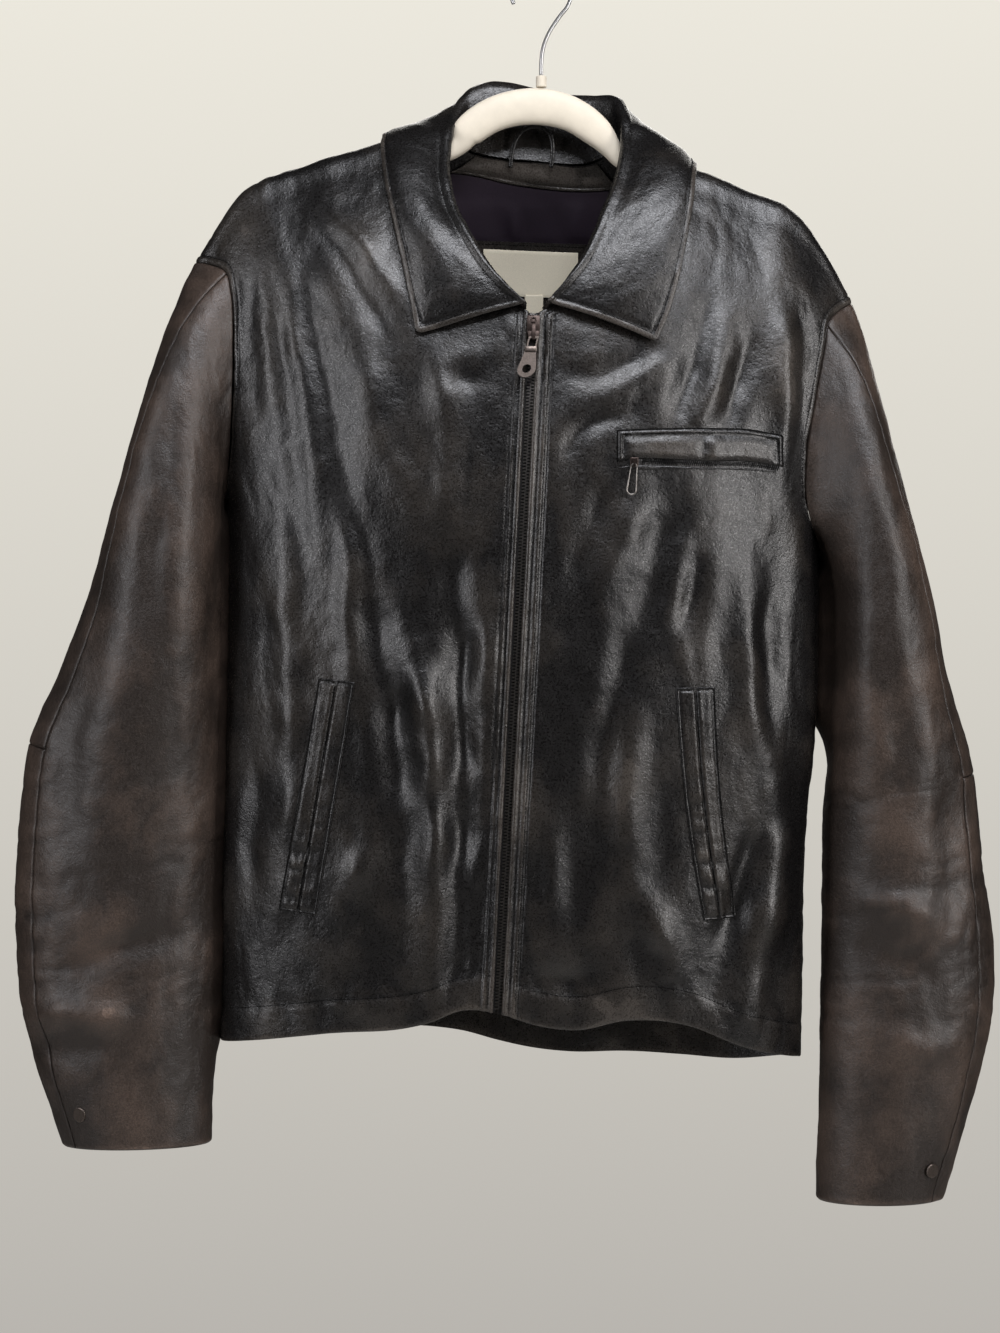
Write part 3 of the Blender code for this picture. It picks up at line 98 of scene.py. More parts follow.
# Seams by the share of their length: the neckline from the shoulder ridge down to the zip, for each front,
# and the armhole from the shoulder point to the underarm, which is on the side line.
Seam = namedtuple("Seam", "part x z")
NECK_RIGHT = rows_of(Seam, (
    (0, -72, -126), (0.3, -75, -163), (0.55, -68, -199), (0.8, -45, -240), (1, -9.7, -268),
))
NECK_LEFT = rows_of(Seam, (
    (0, 62, -133.5), (0.3, 68, -170), (0.55, 61, -206), (0.8, 36, -244), (1, -2.3, -268),
))
NECK_BACK = rows_of(Seam, (
    (0, -72, -126), (0.15, -56, -137), (0.35, -30, -143), (0.6, 3, -145.5), (0.85, 40, -146),
    (1, 62, -133.5),
))
PIT_RIGHT = -400
PIT_LEFT = -442
ARM_FRONT_RIGHT = rows_of(Seam, (
    (0, -258, -223), (0.1, -246, -226), (0.2, -234, -232), (0.32, -228.5, -250), (0.5, -227, -290),
    (0.68, -227.5, -330), (0.86, -229.5, -370), (1, -233, -400),
))
ARM_BACK_RIGHT = rows_of(Seam, (
    (0, -258, -223), (0.1, -249, -229), (0.2, -239, -239), (0.32, -231, -260), (0.5, -224, -296),
    (0.68, -222, -334), (0.86, -226, -372), (1, -233, -400),
))
ARM_FRONT_LEFT = rows_of(Seam, (
    (0, 231.5, -253.5), (0.1, 221, -260), (0.2, 212, -270), (0.32, 207.5, -290), (0.5, 200, -330),
    (0.68, 194, -370), (0.86, 195, -408), (1, 207, -442),
))
ARM_BACK_LEFT = rows_of(Seam, (
    (0, 231.5, -253.5), (0.1, 222, -259), (0.2, 213, -269), (0.32, 206, -290), (0.5, 199, -332),
    (0.68, 195, -374), (0.86, 201.5, -412), (1, 207, -442),
))

Hem = namedtuple("Hem", "x front back")
HEM = rows_of(Hem, (
    (-245, -802, -802), (-160, -791, -800), (-80, -781, -799), (-60, -773, -802), (-34, -774, -809),
    (-6, -783, -815), (24, -787, -818), (62, -780, -817), (107, -785, -819), (145, -801, -821),
    (197, -814, -814),
))

# The largest folds: three points along each, its half width and its height, less than 0 for a trough.
Fold = namedtuple("Fold", "x0 z0 x1 z1 x2 z2 wide high")
FRONT_FOLDS = rows_of(Fold, (
    (-215, -199, -213, -282, -205, -350, 9.2, -2.4), (-211, -199, -202, -282, -189, -383, 10.3, 2.4),
    (-205, -217, -186, -325, -177, -505, 10.3, -3.2), (-199, -192, -173, -322, -162, -448, 11.5, 2.4),
    (-175, -199, -159, -323, -114, -505, 11.5, -3.4), (-157, -235, -120, -337, -94, -419, 12.6, 3),
    (-177, -178, -139, -239, -109, -286, 9.2, -3), (-164, -174, -128, -221, -103, -257, 9.2, 3.6),
    (-80, -296, -70, -347, -70, -433, 11.5, 4.6), (-103, -505, -80, -577, -77, -772, 12.6, 9.5),
    (-65, -448, -57, -563, -68, -765, 12.6, -12), (-32, -592, -41, -693, -49, -765, 9.2, -3.6),
    (-126, -476, -110, -548, -101, -693, 12.6, -8.6), (-211, -564, -212, -642, -215, -719, 10.3, -5.8),
    (-124, -649, -132, -671, -138, -697, 10.3, 4.6), (-78, -298, -54, -298, -31, -298, 8, 1.4),
    (-74, -316, -56, -318, -38, -318, 8, -1.8), (-190, -430, -183, -560, -188, -700, 11.5, 5.6),
    (-150, -380, -138, -470, -140, -560, 9.2, 4.2), (-155, -760, -128, -772, -100, -768, 10.3, 3),
    (-50, -460, -44, -540, -52, -620, 10.3, 4.2), (176, -260, 180, -332, 174, -404, 10.3, 7),
    (191, -260, 190, -325, 184, -383, 9.2, -5.8), (151, -278, 141, -318, 129, -350, 10.3, -6.4),
    (134, -273, 121, -324, 109, -349, 9.2, 4.6), (126, -260, 107, -313, 96, -345, 9.2, -5.2),
    (16, -309, 49, -315, 90, -289, 10.5, -3.4), (33, -330, 64, -319, 87, -306, 10.5, 3),
    (22, -378, 29, -350, 70, -341, 8, -3.6), (52, -391, 34, -426, 24, -471, 9.2, -3.6),
    (71, -404, 54, -440, 39, -476, 10.3, 3.6), (90, -408, 67, -514, 21, -693, 14.9, -8.1),
    (96, -440, 61, -562, 67, -674, 12.6, 5.8), (67, -674, 88, -725, 97, -754, 11.5, 7),
    (117, -440, 110, -469, 100, -503, 9.2, -4.6), (170, -430, 162, -525, 168, -593, 11.5, -7.4),
    (157, -451, 154, -541, 177, -635, 11.5, 8), (177, -635, 167, -693, 146, -790, 13.8, 9.4),
    (154, -645, 143, -693, 123, -761, 10.3, -7.5), (10, -636, 7, -678, 4, -722, 10.3, 3.6),
    (-2, -654, -2, -685, -2, -713, 8, -2.3), (-11, -751, 12, -750, 37, -747, 9.2, -3.6),
    (186, -560, 188, -640, 182, -720, 10.3, -4.6),
))
BACK_FOLDS = rows_of(Fold, (
    (-190, -230, -160, -330, -120, -470, 18, 6), (-205, -300, -180, -420, -170, -560, 16, -6),
    (-100, -200, -80, -330, -85, -520, 20, -5), (175, -280, 150, -380, 110, -500, 18, 6),
    (185, -360, 172, -470, 165, -600, 15, -6), (80, -230, 70, -360, 60, -540, 20, -5),
    (-40, -420, -30, -560, -45, -790, 20, 6), (50, -470, 62, -620, 50, -800, 18, -7),
    (-140, -560, -150, -680, -150, -790, 17, 7), (140, -580, 130, -690, 135, -800, 17, 6),
))

# ---------------------------------------------------------------- sizes: sleeves

# Rings from the armhole to the cuff: the ends of each ring on the outer and the inner line of the sleeve,
# and how far its front and back stand from the plane of the hanger.
Ring = namedtuple("Ring", "out_x out_z in_x in_z front back")
SLEEVE_RIGHT = rows_of(Ring, (
    (-258, -223, -233, -400, -30, 26), (-269, -247, -237, -411, -46, 36),
    (-283, -285, -239.5, -430, -60, 47), (-299, -338, -240, -460, -68, 55),
    (-316, -398, -240.5, -498, -71, 58), (-334, -462, -241, -538, -69, 58),
    (-356, -524, -241, -575, -65, 56), (-379, -576, -241.5, -612, -60, 54),
    (-388, -640, -242.5, -662, -55, 50), (-391, -706, -243, -716, -52, 45),
    (-388, -762, -243.5, -766, -50, 40), (-376, -816, -244, -818, -48, 34),
    (-355.5, -878.5, -244.5, -876, -44, 26),
))
SLEEVE_LEFT = rows_of(Ring, (
    (231.5, -253.5, 207, -442, -30, 26), (241, -284, 213, -451, -46, 36), (252, -328, 218, -465, -60, 47),
    (264, -376, 220.5, -487, -68, 55), (278, -430, 220.5, -516, -71, 58), (292, -488, 218, -550, -69, 58),
    (305, -546, 214, -586, -65, 56), (321, -598, 210.5, -624, -60, 54), (328, -662, 208.5, -676, -55, 50),
    (335.5, -728, 207.5, -734, -52, 45), (334.5, -784, 207, -786, -50, 40),
    (323, -834, 206.5, -836, -48, 36), (297, -918, 203.5, -918, -44, 26),
))
ARMHOLE_REACH = 0.26  # share of the sleeve over which the armhole's outline fades out
SLEEVE_FOLDS = rows_of(Fold, (
    (-284, -290, -300, -380, -320, -470, 12, 5), (-262, -300, -272, -400, -290, -500, 13, -5),
    (-325, -480, -340, -560, -352, -650, 13, -6), (-345, -742, -300, -728, -262, -716, 13, -6),
    (-372, -776, -335, -780, -300, -776, 13, 6), (-380, -800, -350, -806, -318, -800, 12, -5),
    (258, -360, 278, -460, 298, -560, 13, 5), (238, -420, 250, -520, 262, -620, 14, -5),
    (300, -590, 302, -650, 296, -720, 13, -6), (232, -690, 262, -700, 296, -712, 13, 6),
    (228, -730, 262, -742, 300, -750, 13, -6), (250, -790, 280, -800, 306, -800, 12, 5),
))

# ---------------------------------------------------------------- sizes: collar

# Stations from the wearer's right front end, round the back, to the left front end: the roll line, the
# outer edge, and where the neckline seam lies, as a share of the right front, the back or the left front.
Station = namedtuple("Station", "seam part roll_x roll_y roll_z edge_x edge_y edge_z round bulge")
COLLAR_STATIONS = rows_of(Station, (
    ("right", 0.985, -13, -78, -262, -89, -70, -285, 1.6, 3),
    ("right", 0.9, -29, -79, -248, -94, -68, -266, 3, 4),
    ("right", 0.8, -43, -75, -230, -99.5, -64, -243, 4, 5),
    ("right", 0.68, -55, -66, -208, -104.5, -59, -219, 4.4, 6),
    ("right", 0.53, -65, -52, -186, -109.5, -52, -196, 4.6, 6),
    ("right", 0.36, -70.5, -35, -160, -115.5, -39, -168, 4.6, 6),
    ("right", 0.19, -69.5, -18, -137.5, -119, -20, -142, 4.6, 6),
    ("right", 0.1, -69, -8, -124, -118.5, -9, -132, 4.6, 6),
    ("right", 0.02, -66.5, 3, -115, -117, 3, -127, 4.6, 6),
    ("back", 0.1, -60, 17, -98, -105, 21, -138, 4.6, 6),
    ("back", 0.22, -49, 25, -86, -82, 33, -151, 4.6, 5),
    ("back", 0.36, -34, 29, -82, -51, 38, -159, 4.6, 5), ("back", 0.54, -6, 31, -87, -6, 40, -164, 4.6, 5),
    ("back", 0.74, 22, 30, -92, 39, 39, -168, 4.6, 5), ("back", 0.87, 42, 26, -93.5, 67, 35, -168, 4.6, 5),
    ("back", 0.96, 57, 18, -95, 93, 27, -162, 4.6, 6), ("left", 0.04, 63, 5, -108, 108, 10, -150, 4.6, 6),
    ("left", 0.11, 63, -5, -117, 112, -4, -149, 4.6, 6),
    ("left", 0.19, 62, -13, -129, 115, -16, -152, 4.6, 6),
    ("left", 0.34, 59, -30, -150, 113, -36, -165, 4.6, 6),
    ("left", 0.49, 52.5, -46, -172, 109.5, -51, -190, 4.6, 6),
    ("left", 0.64, 44, -60, -194, 104.5, -60, -217, 4.4, 6),
    ("left", 0.78, 33, -71, -222, 99, -66, -242, 4, 5),
    ("left", 0.9, 20.5, -77, -243, 91.5, -70, -268, 3, 4),
    ("left", 0.985, 5.5, -78, -261, 82.5, -73, -290, 1.6, 3),
))


# ---------------------------------------------------------------- fineness, stitching

STEP = 2.7  # between the places of a piece's grid
BACK_STEP = 3.2
CLOSE = np.array((0, 0.35, 0.8, 1.4, 2.2, 3.2, 4.4))  # closer places, from an edge that is rolled
BESIDE = np.array((-4.4, -3.2, -2.2, -1.4, -0.8, -0.3, 0, 0.3, 0.8, 1.4, 2.2, 3.2, 4.4))  # and about a seam
ROUNDING = 1e-6
# How far in from their edge the lines of stitches lie.
HEM_STITCH, CUFF_STITCH, ARM_STITCH, LEAF_STITCH = 25, 24, 6.3, 4.6
PLACKET_STITCH = dict(left=12.0, right=5.0)
LEAF_CORNER = 5.0

# Stations along the hanger: x, its top edge, how tall it is and half its depth.
HANGER = (
    (-216, -180.4, 8, 3), (-212, -171.6, 15, 5.4), (-204, -167.2, 15, 5.4), (-190, -160.5, 15, 5.4),
    (-170, -153, 15, 5.4), (-150, -146.7, 15, 5.4), (-130, -141.1, 15, 5.4), (-110, -135.7, 15, 5.4),
    (-88, -132, 15, 5.4), (-69.5, -134.5, 13, 5), (-62, -128.5, 15, 5), (-55, -114.3, 23.5, 6),
    (-36, -100, 26, 6), (-17, -94.1, 27, 6), (-1, -93.2, 27.5, 6), (22, -99.4, 26, 6),
    (41.5, -114.3, 23, 6), (52, -130, 16, 5.2), (59, -141, 12, 4.8), (78, -144, 15, 5.4),
    (98, -151.4, 15, 5.4), (118, -159.4, 15, 5.4), (138, -167.4, 15, 5.4), (158, -175.4, 15, 5.4),
    (174, -184.9, 15, 5.4), (185, -192.4, 15, 5.4), (190, -201.9, 8, 3),
)


# ---------------------------------------------------------------- curves and soft bumps

def through(keys, values, at):
    """A smooth curve through values, or rows of them, that stand at rising keys."""
    keys, values = np.array(keys, float), np.array(values, float)
    slopes = np.gradient(values, keys, axis=0)
    at = np.clip(np.asarray(at, float), keys[0], keys[-1])
    i = np.clip(np.searchsorted(keys, at) - 1, 0, len(keys) - 2)
    step = keys[i + 1] - keys[i]
    t = (at - keys[i]) / step
    step, t = [part.reshape(part.shape + (1,) * (values.ndim - 1)) for part in (step, t)]
    start = (2 * t**3 - 3 * t**2 + 1) * values[i] + (t**3 - 2 * t**2 + t) * step * slopes[i]
    end = (3 * t**2 - 2 * t**3) * values[i + 1] + (t**3 - t**2) * step * slopes[i + 1]
    return start + end


def along(rows, key, value, at):
    """A smooth curve through one column of a table, read at the given places of another column."""
    return through(*zip(*sorted((getattr(row, key), getattr(row, value)) for row in rows)), at)


def read(at, run, values):
    """Straight between rows of values that stand at the distances of a run."""
    return np.stack([np.interp(at, run, column) for column in values.T], axis=-1)


def smooth(t):
    t = np.clip(t, 0, 1)
    return t * t * (3 - 2 * t)


def bump(distance, wide):
    """1 at no distance, fading to nothing over about twice the half width."""
    return np.exp(-((distance / wide) ** 2))


def roll(distance, radius, depth):
    """How far a sewn edge turns down into its seam."""
    share = np.clip(1 - distance / radius, 0, 1)
    return -depth * (1 - np.sqrt(1 - share**2 * 0.999))


def noise(x, z, seed):
    """Soft bumps from about -1 to 1 over a plane, one to a unit."""
    angles = np.random.default_rng(seed).uniform(0, 2 * math.pi, (64, 64))
    i, j = np.floor(x).astype(int), np.floor(z).astype(int)
    u, v = x - i, z - j
    total = 0
    for di in (0, 1):
        for dj in (0, 1):
            angle = angles[(i + di) % 64, (j + dj) % 64]
            slope = np.cos(angle) * (u - di) + np.sin(angle) * (v - dj)
            total = total + slope * smooth(1 - np.abs(u - di)) * smooth(1 - np.abs(v - dj))
    return total * 1.5


def noises(x, z, *rows):
    """Several such fields added up: each row is its height, its scale across and down, and its seed."""
    return sum(high * noise(x / wide, z / long, seed) for high, wide, long, seed in rows)


def creases(x, z, seed, wide, long, lean):
    """Broken crease lines, 1 along a line and 0 away from it: about wide apart, long in length and
    leaning by so many degrees from plumb."""
    c, s = math.cos(math.radians(lean)), math.sin(math.radians(lean))
    across, down = (x * c - z * s) / wide, (x * s + z * c) / long
    across = across + 0.5 * noise(across * 0.4, down * 1.3, seed + 1)
    lines = np.clip(1 - 2.6 * np.abs(noise(across, down, seed)), 0, 1) ** 1.6
    return lines * smooth(0.5 + 1.2 * noise(across * 0.45 + 7, down * 0.8, seed + 2))


def puckers(s, distance, reach, pitch, high, seed):
    """Small uneven gathers that run in from a stitched line; s runs along it."""
    lines = noise(s / pitch, distance / 40 + 3, seed)
    lines = lines + 0.5 * noise(s / pitch * 2.3, distance / 30 + 9, seed + 5)
    return high * lines * bump(distance, reach)


def relief(folds, x, z):
    """Height of the folds at places of the plane of the hanger."""
    total = np.zeros(np.shape(x))
    x, z = x + 3.4 * noise(x / 50, z / 42, 5), z + 5 * noise(x / 50, z / 42, 6)
    strength = 0.85 + 0.5 * noise(x / 45, z / 38, 7)
    t = np.linspace(0, 1, 8)
    parabola = np.stack([2 * (t - 0.5) * (t - 1), -4 * t * (t - 1), 2 * t * (t - 0.5)], axis=1)
    for fold in folds:
        route_x, route_z = (parabola @ np.array(fold[:6], float).reshape(3, 2)).T
        nearest, place = np.full(np.shape(x), 1e9), np.zeros(np.shape(x))
        for k in range(len(t) - 1):
            run_x, run_z = route_x[k + 1] - route_x[k], route_z[k + 1] - route_z[k]
            share = ((x - route_x[k]) * run_x + (z - route_z[k]) * run_z) / (run_x**2 + run_z**2)
            share = np.clip(share, 0, 1)
            away = np.hypot(x - route_x[k] - share * run_x, z - route_z[k] - share * run_z)
            place = np.where(away < nearest, (k + share) / (len(t) - 1), place)
            nearest = np.minimum(nearest, away)
        ends = np.sin(np.pi * (0.06 + 0.88 * place)) ** 0.8
        total += fold.high * ends * strength * bump(nearest, fold.wide)
    return total


# ---------------------------------------------------------------- grids

def unit(vectors):
    return vectors / np.maximum(np.linalg.norm(vectors, axis=-1, keepdims=True), 1e-9)


def lengths(points, axis=0):
    """How far each place lies along its line of a grid."""
    run = np.cumsum(np.linalg.norm(np.diff(points, axis=axis), axis=-1), axis=axis)
    return np.concatenate([run.take([0], axis) * 0, run], axis=axis)


def edge_distances(points):
    """How far each place of a grid is from its first and last column and its first and last row."""
    across, down = lengths(points, 1), lengths(points, 0)
    return across, across[:, -1:] - across, down, down[-1:] - down


def normals_of(points, towards, closed=False):
    """Outward directions of a grid; towards is one direction that its middle faces, or its first column
    where the grid closes on itself."""
    if closed:
        points = np.concatenate([points[:, -1:], points, points[:, :1]], axis=1)
    found = unit(np.cross(np.gradient(points, axis=1), np.gradient(points, axis=0)))
    if closed:
        found = found[:, 1:-1]
    seen = found[len(found) // 2, 0 if closed else found.shape[1] // 2]
    return found if np.dot(seen, towards) > 0 else -found


def distinct(*stops):
    return np.unique(np.round(np.concatenate(stops), 6))


def spread(length, step, rolled=(True, True)):
    """Shares along a side of this length: even steps, and closer ones at an end whose edge is rolled."""
    close = CLOSE / length
    even = np.linspace(0, 1, max(int(length / step), 2) + 1)
    first, last = [close[-1] * 1.3 if end else 0 for end in rolled]
    even = even[(even > first) & (even < 1 - last)]
    return distinct((0, 1), even, close[: len(close) * rolled[0]], 1 - close[: len(close) * rolled[1]])


def resample(grid, counts):
    """A grid made finer by smooth curves, first across its rows and then along its columns."""
    for axis, shares in enumerate(counts):
        lines = np.moveaxis(grid, axis, 0)
        grid = np.moveaxis(through(np.arange(len(lines)), lines, shares * (len(lines) - 1)), 0, axis)
    return grid


def even_columns(grid, shares, row):
    """Columns at even distances along one row of the grid."""
    run = lengths(grid[row])
    return np.interp(shares * run[-1], run, np.arange(len(run))) / (len(run) - 1)


def smoothed(values, times):
    for _ in range(times):
        padded = np.pad(values, 1, mode="edge")
        beside = padded[1:-1, 1:-1] * 2 + padded[:-2, 1:-1] + padded[2:, 1:-1]
        values = (beside + padded[1:-1, :-2] + padded[1:-1, 2:]) / 6
    return values


def trimmed(points, gap):
    """The grid with each border moved in along the surface, so that sewn pieces stay apart."""
    points = points.copy()
    for grid in (points, points.swapaxes(0, 1)):
        for border, inside in ((0, 1), (-1, -2)):
            grid[border] += unit(grid[inside] - grid[border]) * gap
    return points


def quads_of(shape, first=0):
    """The numbers of a grid's places, and its faces."""
    index = np.arange(shape[0] * shape[1]).reshape(shape[:2]) + first
    corners = [index[:-1, :-1], index[:-1, 1:], index[1:, 1:], index[1:, :-1]]
    return index, np.stack(corners, axis=-1).reshape(-1, 4)


# ---------------------------------------------------------------- pieces

def new_piece(name, mesh, finish):
    mesh.materials.append(finish)
    made = bpy.data.objects.new(name, mesh)
    bpy.context.scene.collection.objects.link(made)
    return made


def from_grids(name, points, faces, finish):
    mesh = bpy.data.meshes.new(name)
    mesh.vertices.add(len(points))
    mesh.vertices.foreach_set("co", points.astype(np.float32).ravel())
    mesh.loops.add(faces.size)
    mesh.loops.foreach_set("vertex_index", faces.astype(np.int32).ravel())
    mesh.polygons.add(len(faces))
    mesh.polygons.foreach_set("loop_start", np.arange(0, faces.size, faces.shape[1], dtype=np.int32))
    mesh.update(calc_edges=True)
    mesh.validate()
    mesh.shade_smooth()
    return new_piece(name, mesh, finish)


def put_values(made, name, kind, where, values):
    made.data.attributes.new(name, kind, where).data.foreach_set("value", values)


def put_wear(made, values):
    put_values(made, "wear", "FLOAT", "POINT", values.astype(np.float32))


def sharp_rim(made, first):
    """The rim stays crisp against the two sides of the cloth."""
    seen = Counter(key for face in made.data.polygons[first:] for key in face.edge_keys)
    flags = np.array([seen[edge.key] == 1 for edge in made.data.edges])
    put_values(made, "sharp_edge", "BOOLEAN", "EDGE", flags)


def settle(made, body, replaces):
    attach(made, body)
    if replaces:
        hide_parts(*replaces)


def shell(name, outer, inner, finish, replaces, wear=None):
    """A closed wall of cloth between two grids, with a rim all round."""
    index, quads = quads_of(outer.shape)
    border = np.concatenate([index[0], index[1:, -1], index[-1, -2::-1], index[-2:0:-1, 0]])
    after = np.roll(border, -1)
    rim = np.stack([border, border + index.size, after + index.size, after], axis=-1)
    faces = np.concatenate([quads, quads[:, ::-1] + index.size, rim])
    r, c = outer.shape[0] // 2, outer.shape[1] // 2
    turn = np.cross(outer[r, c] - outer[r, c - 1], outer[r, c] - outer[r - 1, c])
    if np.dot(turn, outer[r, c] - inner[r, c]) < 0:
        faces = faces[:, ::-1]
    made = from_grids(name, np.concatenate([outer.reshape(-1, 3), inner.reshape(-1, 3)]) * MM, faces, finish)
    sharp_rim(made, len(quads) * 2)
    if wear is not None:
        put_wear(made, np.tile(np.clip(wear, 0, 1).ravel(), 2))
    settle(made, "jacket", replaces)
    return made


# ---------------------------------------------------------------- body

ARM_SHARE = 0.3  # share of a panel's rows that lie beside the armhole
NECK_SHARE = ARM_SHARE * 0.7  # the same beside the neckline, so that a row starts where the zip does
HEM_SIDES = dict(right=-802, left=-814)
Front = namedtuple("Front", "neck arm pit side cover way")
FRONTS = dict(
    right=Front(NECK_RIGHT, ARM_FRONT_RIGHT, PIT_RIGHT, "right", -ZIP_EDGE, -1),
    left=Front(NECK_LEFT, ARM_FRONT_LEFT, PIT_LEFT, "left", ZIP_EDGE - LEFT_COVER, 1),
)
BEHIND = (0, 1, 0)
AHEAD = (0, -1, 0)


def ridge(x):
    return along(SHOULDER, "x", "z", x)


def seam_places(table, part):
    return along(table, "part", "x", part), along(table, "part", "z", part)


def section(z):
    """The middle and the half width of the body at a height."""
    right, left = along(SIDES, "z", "right", z), along(SIDES, "z", "left", z)
    return (left + right) / 2, (left - right) / 2


def turn_at(x, z):
    """The turn round the body, 0 in the middle and a quarter turn on a side line, at a place of a section."""
    middle, half = section(z)
    return np.arcsin(np.clip((x - middle) / half, -1, 1))


def across_body(turn, z):
    middle, half = section(z)
    return middle + half * np.sin(turn)


def body_points(face, turn, z):
    """Points of the body's surface, without its folds; face is front or back."""
    x = across_body(turn, z)
    drop = np.maximum(ridge(x) - z, 0)
    round_share = np.clip(drop / RIDGE_ROUND, 0, 1)
    depth = RIDGE_ROUND * np.sqrt(1 - (1 - round_share) ** 2) + along(SWELL, "drop", face, drop)
    y = depth * np.abs(np.cos(turn)) ** FULLNESS * (-1 if face == "front" else 1)
    return np.stack([x, y, z], axis=-1)


def zip_x(z):
    share = (ZIP_TOP[1] - np.asarray(z, float)) / (ZIP_TOP[1] - ZIP_BOTTOM[1])
    return ZIP_TOP[0] + (ZIP_BOTTOM[0] - ZIP_TOP[0]) * share


def panel_rows():
    """Rows of a panel: close at the shoulder ridge and the hem, and one where neckline and armhole end."""
    top = np.array((0, 0.002, 0.005, 0.009, 0.014, 0.02, 0.028)) * 0.8
    arm = np.arange(0.03, ARM_SHARE, STEP / 640)
    below = np.arange(ARM_SHARE, 1, STEP / 540)
    hem = 1 - np.array((0, 0.4, 1, 1.8, 2.8)) / 400
    return distinct(top, arm, (NECK_SHARE, ARM_SHARE), below[below < hem[-1] - 0.002], hem)


def back_shares(near_turn, far_turn):
    """Columns of the back, so that one stands at each end of the neckline."""
    stops = [near_turn, turn_at(*NECK_BACK[0][1:]), turn_at(*NECK_BACK[-1][1:]), far_turn]
    turns = []
    for k, length in enumerate((190, 134, 170)):
        shares = spread(length, BACK_STEP, (k < 2, k > 0))
        turns += [stops[k] + (stops[k + 1] - stops[k]) * part for part in shares[:-1]]
    return ((np.array(turns + [far_turn]) - near_turn) / (far_turn - near_turn))[None, :]


def panel_normals(points, face):
    normals = normals_of(points, AHEAD if face == "front" else BEHIND)
    x = points[0, :, 0]
    slope = (ridge(x + 2) - ridge(x - 2)) / 4
    upwards = unit(np.stack([-slope, slope * 0, slope * 0 + 1], axis=-1))
    on_ridge = (np.abs(points[0, :, 1]) < 1)[:, None]
    normals[0] = np.where(on_ridge, upwards, normals[0])
    return normals


def neck_drop(turn):
    """How far below the shoulder ridge the back neckline lies, at turns of the top row."""
    x = across_body(turn, np.full(turn.shape, NECK_BACK[0].z))
    inside = (x > NECK_BACK[0].x + 0.5) & (x < NECK_BACK[-1].x - 0.5)
    return np.where(inside, ridge(x) - along(NECK_BACK, "x", "z", x), 0)


def panel(face, sides, share=None):
    """Grid of one body panel between two edges, each given as x and z at every row, with its folds."""
    turns = [turn_at(*side) for side in sides]
    drops = [ridge(x) - z for x, z in sides]
    if face == "back":
        share = back_shares(turns[0][0], turns[1][0])

    def between(pair):
        return pair[0][:, None] * (1 - share) + pair[1][:, None] * share

    turn, drop, z = between(turns), np.maximum(between(drops), 0), between([z for _, z in sides])
    if face == "back":
        drop = drop + neck_drop(turn[0]) * (1 - smooth(ROWS / 0.22))[:, None]
    to_hem = smooth((ROWS - 0.6) / 0.4)[:, None]
    for _ in range(14):
        x = across_body(turn, z)
        found = ridge(x) - drop
        found = found + to_hem * (along(HEM, "x", face, x[-1:, :]) - found[-1:, :])
        z = (z + found) / 2
    points = body_points(face, turn, z)
    normals = panel_normals(points, face)
    # Folds fade out towards the zip, the armholes, the shoulder ridge and where the surface turns sideways.
    by_arm = np.where(ROWS < ARM_SHARE, 1, 1 - smooth((ROWS - ARM_SHARE) / 0.08))[:, None]
    far = 1 - by_arm * (1 - smooth((1 - share) / 0.1))
    near = smooth(share / 0.04) if face == "front" else 1 - by_arm * (1 - smooth(share / 0.1))
    shown = np.clip(np.abs(normals[..., 1]), 0, 1) * near * far * smooth((ROWS - 0.01) / 0.05)[:, None]
    height = relief(FRONT_FOLDS if face == "front" else BACK_FOLDS, points[..., 0], points[..., 2]) * shown
    points = points + normals * height[..., None]
    return points, panel_normals(points, face), height


def arm_edge(table, pit, side):
    """x and z of a panel's outer edge at every row: the armhole, then the side line."""
    arm_x, arm_z = seam_places(table, np.clip(ROWS / ARM_SHARE, 0, 1))
    below = pit + (HEM_SIDES[side] - pit) * np.clip((ROWS - ARM_SHARE) / (1 - ARM_SHARE), 0, 1)
    z = np.where(ROWS <= ARM_SHARE + ROUNDING, arm_z, below)
    return np.where(ROWS < ARM_SHARE - ROUNDING, arm_x, along(SIDES, "z", side, z)), z


def zip_edge(table, offset):
    """x and z of a front's inner edge at every row: the neckline, then the edge beside the teeth."""
    neck_x, neck_z = seam_places(table, np.clip(ROWS / NECK_SHARE, 0, 1))
    below = ZIP_TOP[1] + (ZIP_BOTTOM[1] - ZIP_TOP[1]) * np.clip((ROWS - NECK_SHARE) / (1 - NECK_SHARE), 0, 1)
    by_neck = ROWS <= NECK_SHARE + ROUNDING
    z = np.where(by_neck, neck_z, below)
    return np.where(by_neck, neck_x, zip_x(z) + offset), z


def make_body():
    """Plain outer grid, outward directions and height of the folds of the two fronts and the back."""
    beside_zip = np.array((5.2, 6.0, 6.8, 7.6, 8.4, 9.3, 10.2, 11.0, 11.8, 12.6, 13.6)) / 225
    share = np.unique(np.concatenate([spread(225, STEP), beside_zip]))[None, :]
    made = {}
    for side, row in FRONTS.items():
        edges = zip_edge(row.neck, row.cover), arm_edge(row.arm, row.pit, side)
        made[f"front_{side}"] = panel("front", edges, share)
    edges = arm_edge(ARM_BACK_RIGHT, PIT_RIGHT, "right"), arm_edge(ARM_BACK_LEFT, PIT_LEFT, "left")
    made["back"] = panel("back", edges)
    side_lines = ("front_right", -1, -1), ("front_left", -1, 1), ("back", 0, -1), ("back", -1, 1)
    for name, column, way in side_lines:
        made[name][1][ROWS >= ARM_SHARE - ROUNDING, column] = unit(np.array([way, 0, -0.03]))
    return made


